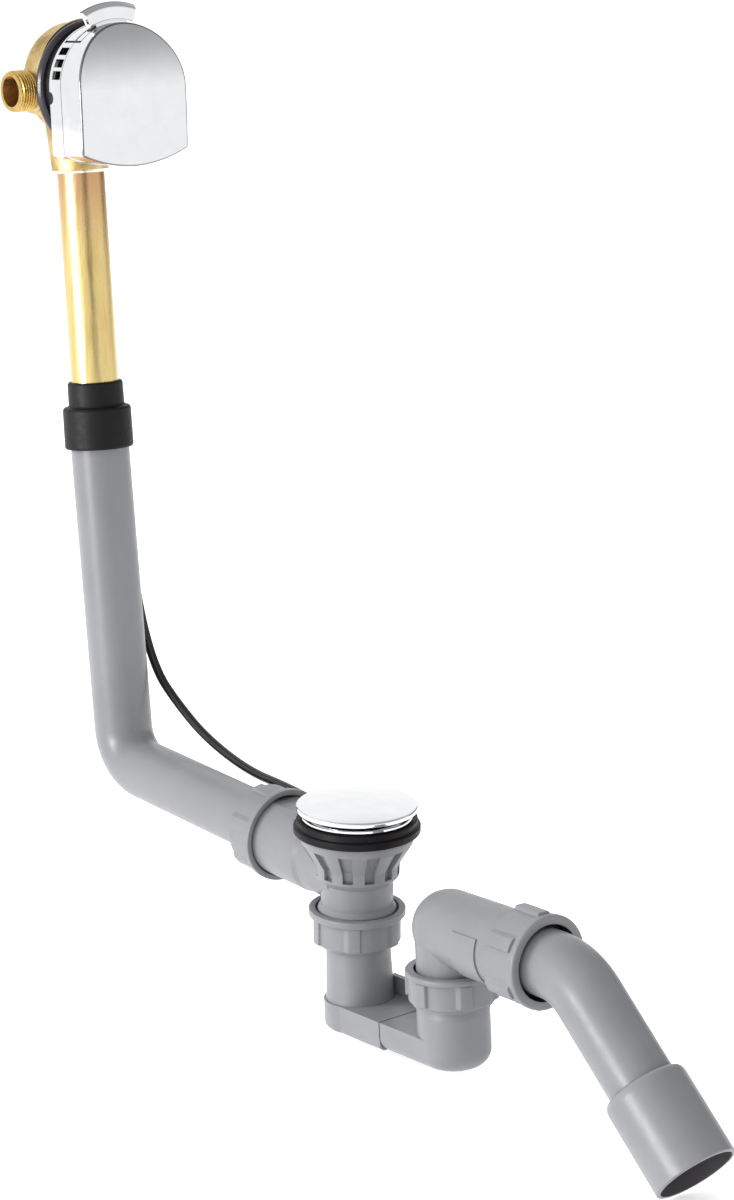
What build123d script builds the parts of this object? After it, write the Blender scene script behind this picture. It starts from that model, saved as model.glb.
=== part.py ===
from build123d import *
import math
import os

os.makedirs("parts", exist_ok=True)

# ---------------------------------------------------------------- driving sizes (mm)
# Frame: +Z up, +X from the overflow towards the waste and its outlet, +Y to the cable side.
# Origin on the waste axis, at the top face of the seal that sits under the tub.
WASTE_AXIS_TO_BEND = 250.8      # waste axis to the knee of the overflow pipe
BEND_Z = -29.5
PIPE_LEAN = 6.2                 # overflow pipe leans with the end wall of the tub, degrees
TUBE_SIDE_LEAN = 1.0            # brass tube leans this much to +Y, degrees
HEAD_LEAN = 3.5                 # face of the overflow cover, degrees off the vertical
HEAD_Z = 417.4                  # height of the axis of the overflow head
SLEEVE_Z = 205.0                # where grey pipe and brass tube meet inside the sleeve

BRASS_R, BRASS_T = 15.6, 1.3
PIPE_R_TOP, PIPE_R_LOW, PIPE_T = 19.35, 19.35, 2.0
KNEE_R = 27.0                   # centre-line radius of the knee
BRANCH_Z, BRANCH_SLOPE, BRANCH_R = -34.0, 1.0, 25.3
TRAP_TILT = 3.7                 # trap and outlet rise this much towards the outlet
TRAP_PIVOT_Z = -66.0
DN40_R, DN50_R = 20.0, 25.0
DOME_R = 40.4                   # half width of the overflow cover
COVER_Z0, COVER_Z1 = 46.0, 68.5 # cover along the axis of the head
BAND_Z0 = 33.0
CABLE_R, WIRE_R = 3.0, 0.75
PLUG_R = 37.3
PLUG_LIFT = 10.4
LEVER_TURN = 45.0


# ---------------------------------------------------------------- helpers
def rev(pts):
    """Closed profile of (radius, height) pairs turned about Z."""
    f = make_face(Polyline([(r, 0, z) for r, z in pts], close=True))
    return revolve(f, axis=Axis.Z)


def ring(r0, r1, z0, z1):
    return rev([(r0, z0), (r1, z0), (r1, z1), (r0, z1)])


def cyl(r, z0, z1, x=0.0, y=0.0):
    return Pos(x, y, (z0 + z1) / 2) * Cylinder(r, z1 - z0)


def box(x0, x1, y0, y1, z0, z1):
    return Pos((x0 + x1) / 2, (y0 + y1) / 2, (z0 + z1) / 2) * Box(x1 - x0, y1 - y0, z1 - z0)


def rod(a, b, r):
    a, b = Vector(*a), Vector(*b)
    d = b - a
    return Plane(origin=a, z_dir=d) * (Pos(0, 0, d.length / 2) * Cylinder(r, d.length))


def sector(r0, r1, z0, z1, a0, a1):
    """Ring segment; angles in degrees from +X towards +Y."""
    s = revolve(make_face(Polyline([(r0, 0, z0), (r1, 0, z0), (r1, 0, z1), (r0, 0, z1)], close=True)),
                axis=Axis.Z, revolution_arc=a1 - a0)
    return Rot(0, 0, a0) * s


def one(shape):
    """The biggest solid of a shape as a plain Part."""
    s = sorted(shape.solids(), key=lambda q: q.volume)
    return s[-1]


def tan(a):
    return math.tan(math.radians(a))


def sin(a):
    return math.sin(math.radians(a))


def cos(a):
    return math.cos(math.radians(a))


def runs(points, share=0.45):
    """Straight runs joined by tangent arcs; also gives the radius of each arc."""
    P = [Vector(*p) if isinstance(p, tuple) else p for p in points]
    edges, radii, cur = [], [], P[0]
    for i in range(1, len(P) - 1):
        u, v = (P[i] - P[i - 1]).normalized(), (P[i + 1] - P[i]).normalized()
        half = math.acos(max(-1.0, min(1.0, u.dot(v)))) / 2
        back = share * min((P[i] - P[i - 1]).length, (P[i + 1] - P[i]).length)
        r = back / math.tan(half)
        a, b = P[i] - u * back, P[i] + v * back
        bis = (v - u).normalized()
        c = P[i] + bis * (r / math.cos(half))
        edges += [Line(cur, a), ThreePointArc(a, c - bis * r, b)]
        radii.append(round(r, 1))
        cur = b
    edges.append(Line(cur, P[-1]))
    return Wire(edges), radii


PIECES = {}


def keep(name, shape):
    sol = shape.solids()
    if len(sol) == 1:
        PIECES[name] = sol[0]
    else:
        PIECES[name] = Compound(children=[s for s in sol])
    PIECES[name].label = name
    print("%-22s solids %d  volume %10.1f mm3  valid %s" % (name, len(sol), sum(s.volume for s in sol), all(bool(s.is_valid) for s in sol)))


# ---------------------------------------------------------------- frames
def pipe_axis_x(z):
    return -WASTE_AXIS_TO_BEND - tan(PIPE_LEAN) * (z - BEND_Z)


def tube_axis_y(z):
    return tan(TUBE_SIDE_LEAN) * max(0.0, z - SLEEVE_Z)


BEND = (-WASTE_AXIS_TO_BEND, 0, BEND_Z)
UP_DIR = Vector(-tan(PIPE_LEAN), 0, 1).normalized()
TUBE_DIR = Vector(-tan(PIPE_LEAN), tan(TUBE_SIDE_LEAN), 1).normalized()
JOIN = Vector(pipe_axis_x(SLEEVE_Z), 0, SLEEVE_Z)
TUBE = Plane(origin=JOIN, x_dir=Vector(0, 1, 0) - TUBE_DIR * TUBE_DIR.Y, z_dir=TUBE_DIR)

HEAD_O = Vector(pipe_axis_x(HEAD_Z), tube_axis_y(HEAD_Z), HEAD_Z)
FWD = Vector(cos(HEAD_LEAN), 0, sin(HEAD_LEAN))
# local x = +Y of the frame, local y = up, local z = out of the tub wall
HEAD = Plane(origin=HEAD_O, x_dir=(0, 1, 0), z_dir=FWD)

BR_DIR = Vector(-cos(BRANCH_SLOPE), 0, sin(BRANCH_SLOPE))
BRANCH = Plane(origin=(0, 0, BRANCH_Z), x_dir=(0, 1, 0), z_dir=BR_DIR)

TRAP = Location((0, 0, TRAP_PIVOT_Z)) * Location((0, 0, 0), (0, -TRAP_TILT, 0)) * Location((0, 0, -TRAP_PIVOT_Z))


def head_pt(x, y, z):
    return HEAD.from_local_coords(Vector(x, y, z))


# ================================================================ overflow head
# --- cast brass body: drum, tapered neck, inlet boss with thread, filler spigot
drum_c = 4.5
drum = rev([(0, -13), (20, -13), (29, -10.5), (34.5, -6), (36, -2), (36, 14.3), (38.5, 15.3), (38.5, 17.5), (0, 17.5)])
drum = Pos(0, drum_c, 0) * drum
NECK = Plane(origin=head_pt(0, 0, 0), x_dir=Vector(0, 1, 0) - TUBE_DIR * TUBE_DIR.Y, z_dir=TUBE_DIR)      # local z runs up the tube
drum_w = HEAD * drum
neck = NECK * rev([(0, -54), (18.6, -54), (21.2, -18), (21.2, 0), (0, 0)])
neck = neck - HEAD * box(-60, 60, -44, 60, 17.4, 60)
INLET_Y, SPIG_Y = -1.0, 0.0                           # the inlet sits a little below the axis of the head
inlet_prof = [(0, 24), (17.0, 24), (16.0, 30), (14.8, 31.5), (14.8, 33.5), (12.3, 34.5)]
THREAD_R = 13.2                                      # crest radius of the inlet thread, drawn as a plain cylinder
inlet_prof += [(12.3, 35.2), (12.3, 35.9), (THREAD_R, 36.6), (THREAD_R, 47.6), (12.3, 48.6), (0, 48.6)]
INLET = Plane(origin=head_pt(0, INLET_Y, 0), x_dir=FWD, z_dir=(0, -1, 0))
inlet = INLET * rev(inlet_prof)
gland_boss = HEAD * (Pos(18, -31, -13) * Rot(90, 0, 0) * Cylinder(5.2, 16))
# hump that leads the pull wire from the gland into the drum
WIRE_PTS = [(18, -38, -13), (18, -31.5, -13.0), (17.6, -22, -3.0), (16.6, -12, 11.0), (16.5, -6.0, 15.9), (16.5, 0.0, 15.9)]
for i in range(1, 3):
    a_, b_ = WIRE_PTS[i], WIRE_PTS[i + 1]
    gland_boss = gland_boss + HEAD * rod(a_, b_ if i < 2 else (17.2, -18, 2.6), 4.2)
body = drum_w + neck + inlet + gland_boss
cav = HEAD * (Pos(0, drum_c, 0) * rev([(0, -10.2), (19, -10.2), (27, -8), (31, -4.5), (32.6, -1), (32.6, 17.6), (0, 17.6)]))
neck_bore = NECK * (cyl(15.0, -60, 0) + cyl(BRASS_R + 0.05, -60, -34))
body = body - cav - neck_bore
# walls kept inside the drum: inlet passage, filler spigot, screw pillars
passage = INLET * cyl(12.6, 0, 30)
elbow_ball = HEAD * (Pos(0, INLET_Y, 0) * Sphere(12.6))
SPIG_R = 13.0
spigot = HEAD * cyl(SPIG_R, 0, 56, 0, SPIG_Y)
SCREWS = ((-17.8, 12.9), (17.8, 12.9))
pillars = [HEAD * cyl(3.7, -11, 16.0, x, y) for x, y in SCREWS]
body = body + passage + elbow_ball + spigot
for p in pillars:
    body = body + p
body = body - (INLET * cyl(9.8, 0, 49.5)) - (HEAD * cyl(9.8, 0, 57, 0, SPIG_Y))
body = body - (HEAD * (Pos(0, INLET_Y, 0) * Sphere(9.8)))
wire_up, wire_radii = runs([head_pt(*p) for p in WIRE_PTS])
gland_bore = HEAD * (Pos(18, -36.5, -13) * Rot(90, 0, 0) * Cylinder(CABLE_R + 0.05, 7))
wire_bore = sweep(Plane(origin=wire_up @ 0, z_dir=wire_up % 0) * Circle(1.35), path=wire_up)
body = body - gland_bore - wire_bore
for x, y in SCREWS:
    body = body - (HEAD * cyl(2.05, -6, 16.1, x, y))
# o-ring groove on the spigot
body = body - (HEAD * (Pos(0, SPIG_Y, 0) * ring(11.6, 13.2, 51.0, 53.2)))
keep("overflow_body", one(body))

# --- brass tube brazed into the neck
tube_top = (HEAD_Z - SLEEVE_Z) / TUBE_DIR.Z - 34.5
tube_bot = -15.0
tube = TUBE * ring(BRASS_R - BRASS_T, BRASS_R, tube_bot, tube_top)
keep("overflow_tube", one(tube))
# --- braze fillet where the tube enters the neck
braze = NECK * rev([(BRASS_R + 0.02, -54.05), (17.2, -54.05), (16.4, -54.7), (BRASS_R + 0.02, -55.9)])
keep("braze_fillet", one(braze))

# --- rubber gasket behind the tub wall
gk = rev([(27, 17.55), (39.2, 17.55), (41.2, 18.6), (42.1, 20.4), (42.1, 22.0), (41.0, 23.8), (39.0, 24.6), (27, 24.6)])
gk = HEAD * gk
keep("wall_gasket", one(gk))

# --- black clamping flange in front of the tub wall, with overflow openings and two screw holes
fl = ring(15.0, 38.0, 24.7, 28.2) + ring(34.6, 38.0, 28.2, 32.6)
for a in range(0, 360, 36):
    if a not in (36, 108, 144):
        fl = fl - sector(19.0, 25.2, 24, 29, a + 4, a + 32)
fl = fl + (Pos(0, SPIG_Y, 0) * ring(16.5, 17.8, 24.7, 30.6)) - (Pos(0, SPIG_Y, 0) * cyl(16.5, 24, 31))
for x, y in SCREWS:
    fl = fl + cyl(4.4, 24.7, 28.2, x, y) - cyl(2.4, 24, 33, x, y)
keep("clamp_flange", one(HEAD * fl))

# --- the two long screws that pull flange, tub wall, gasket and body together
scr = None
for x, y in SCREWS:
    s = cyl(2.0, -4, 28.25, x, y) + (Pos(x, y, 0) * rev([(0, 28.25), (3.9, 28.25), (3.9, 29.6), (2.8, 30.6), (0, 30.6)]))
    s = s - box(x - 0.6, x + 0.6, y - 4.5, y + 4.5, 29.5, 31.5)
    scr = s if scr is None else scr + s
scr = HEAD * scr
keep("clamp_screws", scr)


# --- D profile of rosette and cover
def dshape(half, straight, sag, z0, z1):
    """Half round top, straight sides, shallow arc below; extruded along local z."""
    a = Vector(half, 0)
    b = Vector(-half, 0)
    top = ThreePointArc((half, 0), (0, half), (-half, 0))
    l1 = Line((-half, 0), (-half, -straight))
    bot = ThreePointArc((-half, -straight), (0, -straight - sag), (half, -straight))
    l2 = Line((half, -straight), (half, 0))
    f = make_face(Wire([top, l1, bot, l2]))
    return Pos(0, 0, z0) * extrude(f, z1 - z0, dir=(0, 0, 1))


ST, SAG = 41.0, 8.6
SLOT_A0, SLOT_A1 = 90 - 36.0 - LEVER_TURN - 1.2, 90 + 44.2     # notch for the lever sector
rosette = dshape(DOME_R, ST, SAG, BAND_Z0, COVER_Z0 - 0.25) - dshape(DOME_R - 2.2, ST, SAG - 1.0, BAND_Z0 - 1, COVER_Z0 + 1)
rosette = rosette - sector(36, 43, BAND_Z0 + 1.6, COVER_Z0 + 1, SLOT_A0, SLOT_A1)
for a in (13.3, 24.4, 36.4):                                    # windows, photographed side
    rosette = rosette - sector(36, 43, 35.9, 45.0, 180 - a - 3.9, 180 - a + 3.9)
for w in (-6.5, -15.0, -23.5):                                  # far side, below the notch
    rosette = rosette - box(36, 43, w - 2.7, w + 2.7, 35.9, 45.0)
for s in (-1, 1):                                               # small relief in the rear edge
    rosette = rosette - (Pos(s * DOME_R, -5.0, BAND_Z0) * Rot(0, 90, 0) * Cylinder(4.0, 8))
# arms that hook on the clamping flange
arms = sector(33.2, 34.5, 28.9, 36.6, 193, 207) + sector(33.2, 38.9, 35.0, 36.6, 193, 207) + \
    sector(33.2, 34.5, 28.9, 36.6, 333, 347) + sector(33.2, 38.9, 35.0, 36.6, 333, 347)
rosette = rosette + arms
keep("overflow_rosette", one(HEAD * rosette))

# --- cover: front band and face; the face is flat below the axis and falls back above it
FALL = 9.5
outer = dshape(DOME_R, ST, SAG, COVER_Z0, COVER_Z1 + 3)
inner = dshape(DOME_R - 2.3, ST - 1.6, SAG, COVER_Z0 - 1, COVER_Z1 + 3)


def face_cut(off):
    """Solid in front of the face: low crowned lower part, falling-back upper part."""
    pts = [(-60, COVER_Z1 - 1.4 - off), (-20, COVER_Z1 - 0.3 - off), (0.0, COVER_Z1 - off)]
    up = [(y, COVER_Z1 - off - (0.06 * y + (FALL - 0.06 * DOME_R) * (y / DOME_R) ** 2.0)) for y in range(4, 61, 4)]
    pts = pts + up
    prof = Polyline([(0, y, z) for y, z in pts] + [(0, 60, 90), (0, -60, 90)], close=True)
    return Pos(-60, 0, 0) * extrude(make_face(prof), 120, dir=(1, 0, 0))


outer = outer - face_cut(0.0)
inner = inner - face_cut(2.3)
cover = outer - inner
cover = cover - sector(36, 43, COVER_Z0 - 1, COVER_Z0 + 6.6, SLOT_A0, SLOT_A1)
cover = cover - box(-26, 26, -60, -ST - 2.0, COVER_Z0 - 1, COVER_Z1 - 8)             # spout opening below
# socket that holds the cover on the spigot, tied to the side walls
sock = ring(14.2, 16.6, 54.2, 64.6)
sock = Pos(0, SPIG_Y, 0) * sock
ribs = box(-38.4, -15.5, -2.4, 0.4, 56.0, 64.6) + box(15.5, 38.4, -2.4, 0.4, 56.0, 64.6) + box(-1.2, 1.2, 14.8, 37.0, 55.0, 59.6) + box(-16.6, 16.6, -2.4, 0.4, 63.0, 65.9) - cyl(14.2, 50, 66, 0, SPIG_Y)
ribs = ribs + box(-38.4, 38.4, -2.4, 0.4, 64.6, 66.0)
cover = cover + sock + ribs
cover = cover - (Pos(0, -16, 59.5) * Rot(90, 0, 0) * Cylinder(2.05, 12))
keep("overflow_cover", one(HEAD * cover))

# --- filler insert: turns the water from the spigot down to the mouth of the cover
insert = rev([(0, 56.4), (14.0, 56.4), (14.0, 61.8), (0, 61.8)])
insert = Pos(0, SPIG_Y, 0) * (ring(13.12, 14.1, 50.0, 56.4) + insert)
insert = insert - (Pos(0, SPIG_Y, 0) * cyl(9.8, 55, 60.2)) - box(-9, 9, -20, SPIG_Y, 56.4, 60.2)
keep("filler_insert", one(HEAD * insert))
# --- o-ring of the spigot
oring = HEAD * (Pos(0, SPIG_Y, 52.1) * Torus(12.35, 0.75))
keep("spigot_o_ring", one(oring))
# --- grub screw that locks the cover
grub = HEAD * (Pos(0, SPIG_Y - 15.6, 59.5) * Rot(90, 0, 0) * (Cylinder(2.0, 2.9) - Pos(0, 0, 1.2) * Cylinder(0.9, 1.4)))
keep("cover_screw", one(grub))

# --- lever: arc grip above the dome, sector in the seam, hub on the spigot (one casting)
LV0, LV1 = 90 - 18.3, 90 + 26.3
SC0, SC1 = 90 - 35.0, 90 + 43.2
grip = sector(42.4, 53.4, 47.0, 52.0, LV0, LV1)
neckp = sector(33.0, 43.0, 46.9, 52.0, 90 - 12.0, 90 + 21.0)
sect = sector(37.0, 40.4, BAND_Z0 + 2.0, 45.1, SC0, SC1) + sector(35.6, 38.6, BAND_Z0 + 2.0, 51.2, SC0, SC1) + sector(37.0, 40.4, 46.3, 52.0, SC0, SC1)
sp1 = sector(14.0, 37.5, 41.0, 44.4, 90 - 7, 90 + 15)
hub = ring(SPIG_R + 0.05, 16.6, 32.2, 44.4)
hub = Pos(0, SPIG_Y, 0) * hub
lever = grip + neckp + sect + sp1 + hub
lever = lever - (Pos(0, SPIG_Y, 0) * cyl(SPIG_R + 0.05, 20, 60))
keep("lever_handle", one(HEAD * lever))

# --- cable drum behind the clamping flange, pinned to the hub
cd = ring(SPIG_R + 0.05, 15.6, 13.4, 32.1) + ring(SPIG_R + 0.05, 17.3, 13.4, 14.6) + ring(SPIG_R + 0.05, 17.3, 17.2, 18.4)
cd = Pos(0, SPIG_Y, 0) * cd
keep("cable_drum", one(HEAD * cd))

# ================================================================ overflow pipe
# --- rubber reducer sleeve
sl = rev([(BRASS_R, -22.2), (22.3, -22.2), (22.7, -21), (22.5, 3.2), (21.6, 4.6), (18.9, 5.4), (18.4, 6.5), (18.2, 20.2), (17.4, 21.4), (BRASS_R, 21.4)])
sl = TUBE * sl

# --- grey overflow pipe with its knee
L_UP = (SLEEVE_Z - BEND_Z) / UP_DIR.Z - 2.0
low_end = 62.0                                      # distance of its lower end from the waste axis
# the knee joins both legs on a tangent arc
ang = math.degrees(math.acos(max(-1, min(1, (BR_DIR * -1).dot(UP_DIR)))))   # angle between the legs
# exact corner: where both centre lines meet
a11, a12 = BR_DIR.X, -UP_DIR.X
a21, a22 = BR_DIR.Z, -UP_DIR.Z
bx = pipe_axis_x(0.0)
bz = -BRANCH_Z
det = a11 * a22 - a12 * a21
t_b = (bx * a22 - a12 * bz) / det
CORNER = Vector(0, 0, BRANCH_Z) + BR_DIR * t_b
back = KNEE_R * math.tan(math.radians((180 - ang) / 2))
p1 = CORNER - BR_DIR * back
p2 = CORNER + UP_DIR * back
bis = ((BR_DIR * -1) + UP_DIR).normalized()
centre = CORNER + bis * (KNEE_R / math.sin(math.radians(ang / 2)))
mid = centre - bis * KNEE_R
arc = ThreePointArc(p1, mid, p2)
print("corner", tuple(round(v, 2) for v in CORNER), "angle", round(ang, 2), "back", round(back, 2))


PR = PIPE_R_TOP
up_end_p = JOIN - UP_DIR * 2.0
lo_end = Vector(0, 0, BRANCH_Z) + BR_DIR * low_end


def pipe_sweep(r, more):
    start = lo_end - BR_DIR * more
    route = Wire([Line(start, p1), arc, Line(p2, up_end_p + UP_DIR * more)])
    return sweep(Plane(origin=start, z_dir=BR_DIR) * Circle(r), path=route)


pipe = one(pipe_sweep(PR, 0.0) - pipe_sweep(PR - PIPE_T, 1.0))
keep("overflow_pipe", pipe)
# the sleeve is moulded to the tube and stretched over the pipe end
sleeve = sl - pipe_sweep(PR, 0.0) - (TUBE * cyl(BRASS_R, -23, 22))
keep("reducer_sleeve", one(sleeve))


# ================================================================ union nuts
PAD_W = 22.0                                         # a pad covers this many degrees


def pads(n, base_r, pad_r, z0, z1, step_at, turn):
    """Grip pads; turn is the direction, from the ramp to the step, in which the angle grows (+1) or falls (-1)."""
    out = None
    for i in range(n):
        a = step_at + i * 360.0 / n
        rim = [(base_r - 0.8, -PAD_W), (base_r, -PAD_W), (pad_r, -PAD_W + 6.0), (pad_r + 0.06, -PAD_W / 2), (pad_r, -3.0), (base_r, 0.0), (base_r - 0.8, 0.0)]
        f = make_face(Polyline([(r * cos(a + turn * d), r * sin(a + turn * d), z0) for r, d in rim], close=True))
        s = extrude(f, z1 - z0, dir=(0, 0, 1))
        out = s if out is None else out + s
    return out


def nut(ring_r, pad_r, base_r, mouth_r, thread_r, exit_r, length, ring_t=4.6, depth=20.0, step_at=0.0, turn=1):
    """Open (mouth) end at z = 0; pipes leave at z = length."""
    prof = [(mouth_r, 0), (ring_r - 0.7, 0), (ring_r, 0.7), (ring_r, ring_t - 0.6), (ring_r - 1.0, ring_t), (base_r, ring_t),
            (base_r, length - 4.2), (base_r - 4.3, length - 0.4), (exit_r, length - 0.4), (exit_r, depth + 0.8), (exit_r + 0.8, depth),
            (thread_r, depth), (thread_r, 1.4)]
    return rev(prof) + pads(6, base_r, pad_r, ring_t - 0.1, length - 4.3, step_at, turn)


nutA = dict(ring_r=29.3, pad_r=27.8, base_r=26.9, mouth_r=26.3, thread_r=25.5, exit_r=20.6, length=27.0)
n1_at = 72.8
N1_STEP = -170.0
N1 = Plane(origin=Vector(0, 0, BRANCH_Z) + BR_DIR * n1_at, x_dir=(0, 1, 0), z_dir=BR_DIR)
n1 = N1 * nut(**{**nutA, "ring_r": 29.6, "pad_r": 28.4, "step_at": N1_STEP, "turn": -1})
keep("branch_nut", one(n1))

# ================================================================ waste body
TR = 24.2                                            # male thread below the waste
wb = rev([(0, -9.25), (35.4, -9.25), (35.4, -12.0), (34.2, -16.0), (26.9, -28.0), (26.2, -29.5), (26.0, -36.5), (25.2, -37.6), (22.4, -40.5), (22.15, -55.0), (TR, -58.0), (TR, -76.0), (23.6, -76.8), (0, -76.8)])
# pockets between the ribs of the funnel
for i in range(12):
    a = i * 30.0 + 9.0
    if 150 < (a % 360) < 210:
        continue
    wedge = sector(20, 40, -35.0, -15.5, a - 7.0, a + 7.0)
    cut = rev([(23.0, -35.2), (60, -35.2), (60, -14.4), (31.9, -14.4), (23.7, -28.0)])
    wb = wb - (wedge & cut)
branch = BRANCH * rev([(0, 0), (24.0, 0), (24.1, 30.5), (25.1, 34.5), (BRANCH_R, n1_at - 6.0), (BRANCH_R, n1_at + 18.0), (BRANCH_R - 0.8, n1_at + 19.0), (0, n1_at + 19.0)])
branch = branch & box(-120, 0, -40, 40, -80, -9.3)
wb = wb + branch
# housing of the rocker on the cable side
HX0, HX1, HY0, HY1 = -36.0, -8.5, 19.0, 35.0
RX, RZ = -16.0, -27.5                                # rocker axis
HZ0, HZ1 = -42.0, -14.0
wb = wb + box(HX0, HX1, HY0, HY1, HZ0, HZ1)
CZ = RZ + 7.2                                        # height of the pull wire
wb = wb + box(-44, HX0 + 1.0, 26.0, 34.0, CZ - 4.6, CZ + 4.6)
wb = wb - box(HX0 + 2.5, HX1 - 2.5, 24.5, HY1 + 1, HZ0 + 2.5, HZ1 - 2.5)
inner = rev([(0, -9.0), (30.5, -9.0), (30.5, -12.5), (21.5, -28.0), (19.2, -33.0), (19.2, -56.0), (21.3, -58.5), (21.3, -77), (0, -77)])
wb = wb - inner
wb = wb - (BRANCH * cyl(PIPE_R_LOW + 0.35, 58.0, 95.0)) - (BRANCH * cyl(17.5, 0, 60))
wb = wb - (Pos(RX, 22, RZ) * Rot(90, 0, 0) * Cylinder(2.55, 14))
wb = wb - (Pos(-36.5, 30, CZ) * Rot(0, 90, 0) * Cylinder(1.2, 26)) - (Pos(-41, 30, CZ) * Rot(0, 90, 0) * Cylinder(CABLE_R + 0.05, 10))
HSCR = ((-32.8, -38.8), (-11.7, -38.8), (-32.8, -17.0))
for x, zz in HSCR:
    wb = wb + (Pos(x, 30.5, zz) * Rot(90, 0, 0) * Cylinder(2.3, 8.9))
    wb = wb - (Pos(x, 31.9, zz) * Rot(90, 0, 0) * Cylinder(1.15, 6.5))
# three pads that take the flange screws
for a in (30, 150, 270):
    q = Pos(25.6 * cos(a), 25.6 * sin(a), 0) * cyl(3.6, -20, -9.25)
    wb = wb + q
for a in (30, 150, 270):
    wb = wb - (Pos(25.6 * cos(a), 25.6 * sin(a), 0) * cyl(1.55, -19, -9.0))
keep("waste_body", one(wb))

# --- branch cone seal (takes the lower end of the overflow pipe)
cs1 = BRANCH * rev([(PIPE_R_LOW + 0.02, n1_at + 19.2), (25.0, n1_at + 19.2), (25.0, n1_at + 19.9), (20.9, n1_at + 19.9), (20.5, n1_at + 22.0), (PIPE_R_LOW + 0.02, n1_at + 22.0)])
cs1 = cs1 - n1
keep("branch_cone_seal", one(cs1))

# --- rocker: shaft, inner arm, outer arm
shaft = Pos(RX, 0, RZ) * Rot(90, 0, 0) * cyl(2.5, -33.5, 4.5)
TH = 18.0
ARM = 17.0
ia = rod((RX, 0, RZ), (RX + ARM * cos(-TH), 0, RZ + ARM * sin(-TH)), 2.0)
tip = Pos(RX + ARM * cos(-TH), 0, RZ + ARM * sin(-TH)) * Sphere(2.3)
oa = box(RX - 2.6, RX + 2.6, 28.0, 32.0, RZ - 2.6, RZ + 9.4)
oa = oa + (Pos(RX, 30.0, RZ) * Rot(90, 0, 0) * Cylinder(4.4, 4.0))
oa = oa - (Pos(RX, 30, RZ + 7.2) * Rot(90, 0, 0) * Cylinder(1.0, 6))
rk = shaft + ia + tip
keep("rocker_shaft", one(rk - oa))
keep("rocker_crank", one(oa - (Pos(RX, 0, RZ) * Rot(90, 0, 0) * cyl(2.5, -33.5, 4.5))))
# --- shaft seal ring in the wall
ss = Pos(RX, 25.32, RZ) * Rot(90, 0, 0) * Torus(3.3, 0.78)
keep("rocker_seal", one(ss))
# --- cover of the rocker housing with its screws
hc = box(HX0, HX1, HY1 + 0.05, HY1 + 2.0, HZ0, HZ1)
for x, zz in HSCR:
    hc = hc - (Pos(x, HY1 + 1, zz) * Rot(90, 0, 0) * Cylinder(1.5, 4))
keep("rocker_housing_cover", one(hc))
hs = None
for x, zz in HSCR:
    s = Pos(x, 0, zz) * Rot(90, 0, 0) * (cyl(1.1, -HY1 - 2.1, -29.5) + cyl(2.4, -HY1 - 3.6, -HY1 - 2.05))
    s = s - box(x - 0.35, x + 0.35, HY1 + 2.9, HY1 + 4, zz - 2.5, zz + 2.5)
    hs = s if hs is None else hs + s
keep("housing_screws", hs)

# --- seal under the tub: two tiers
seal = rev([(30.6, -9.2), (38.4, -9.2), (38.9, -8.6), (38.9, -5.0), (38.3, -4.3), (37.1, -4.1), (37.0, -0.6), (36.4, 0), (30.6, 0)])
keep("waste_seal", one(seal))
# --- chrome flange: lip on the tub, dish through the hole, guide cross for the plug
fl = rev([(23.2, 2.4), (33.4, 2.9), (34.8, 2.0), (34.8, 0.9), (34.2, 0.45), (30.5, 0.45), (30.2, -0.5), (30.2, -7.5), (28.8, -8.9), (22.0, -8.9), (19.0, -11.6), (17.4, -11.6), (17.4, -10.2), (21.6, -7.2)])
cross = None
for a in (0, 60, 120):
    b = Rot(0, 0, a) * box(-18.2, 18.2, -1.3, 1.3, -11.6, -9.4)
    cross = b if cross is None else cross + b
cross = cross + cyl(5.0, -13.0, -7.5)
fl = fl + cross - cyl(3.05, -15, 5)
for a in (30, 150, 270):
    fl = fl - (Pos(25.6 * cos(a), 25.6 * sin(a), 0) * (cyl(2.0, -10, 3) + cyl(3.7, -6.6, 4)))
keep("waste_flange", one(fl))
# --- thin gasket between lip and tub
fg = ring(31.0, 33.6, 0.02, 0.43)
keep("flange_gasket", one(fg))
fs = None
for a in (30, 150, 270):
    s = Pos(25.6 * cos(a), 25.6 * sin(a), 0) * (cyl(1.5, -18.0, -6.5) + rev([(0, -6.58), (3.4, -6.58), (3.4, -5.4), (2.4, -4.6), (0, -4.6)]))
    s = s - (Pos(25.6 * cos(a), 25.6 * sin(a), 0) * box(-0.5, 0.5, -3.5, 3.5, -5.6, -4))
    fs = s if fs is None else fs + s
keep("flange_screws", fs)

# --- plug: chrome cap, rubber ring, stem with adjusting nut
cap = rev([(0, 11.5), (8, 11.4), (16, 10.95), (24, 10.15), (30, 9.25), (34.5, 8.4), (36.6, 7.85), (37.3, 7.2), (37.3, 5.4), (36.7, 4.75), (35.2, 4.7), (34.6, 5.3), (24.0, 6.0), (7.0, 6.2), (7.0, 3.4), (0, 3.4)])
cap = cap - cyl(2.55, 3.0, 8.2)
keep("plug_cap", one(cap))
pseal = rev([(7.05, 3.6), (26.0, 3.4), (30.8, 3.2), (31.2, 4.0), (30.8, 5.0), (24.0, 5.5), (7.05, 5.7)])
keep("plug_seal", one(pseal))
TIPZ = RZ + ARM * sin(-TH) + 2.3
stem = cyl(2.5, -2.0, 8.1) + cyl(3.0, -20.0, -2.0) + cyl(2.2, TIPZ + 0.7, -20.0)
keep("plug_stem", one(stem))
locknut = extrude(Pos(0, 0, 0.4) * RegularPolygon(5.0, 6), 2.6) - cyl(2.52, 0, 4)
keep("stem_locknut", one(locknut))

# ================================================================ trap and outlet (drawn level, then tilted)
# --- inlet nut
n2 = Pos(0, 0, -58.2) * Rot(180, 0, 0) * nut(29.8, 28.3, 26.9, 25.6, TR + 0.2, 21.9, 24.4, depth=18.6, step_at=33.7, turn=-1)
keep("inlet_nut", one(n2))
BH = 22.0                                            # half width of the trap
OX = 89.9                                            # distance between inlet and outlet axes of the trap
ZT, ZB = -116.0, -135.6


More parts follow.
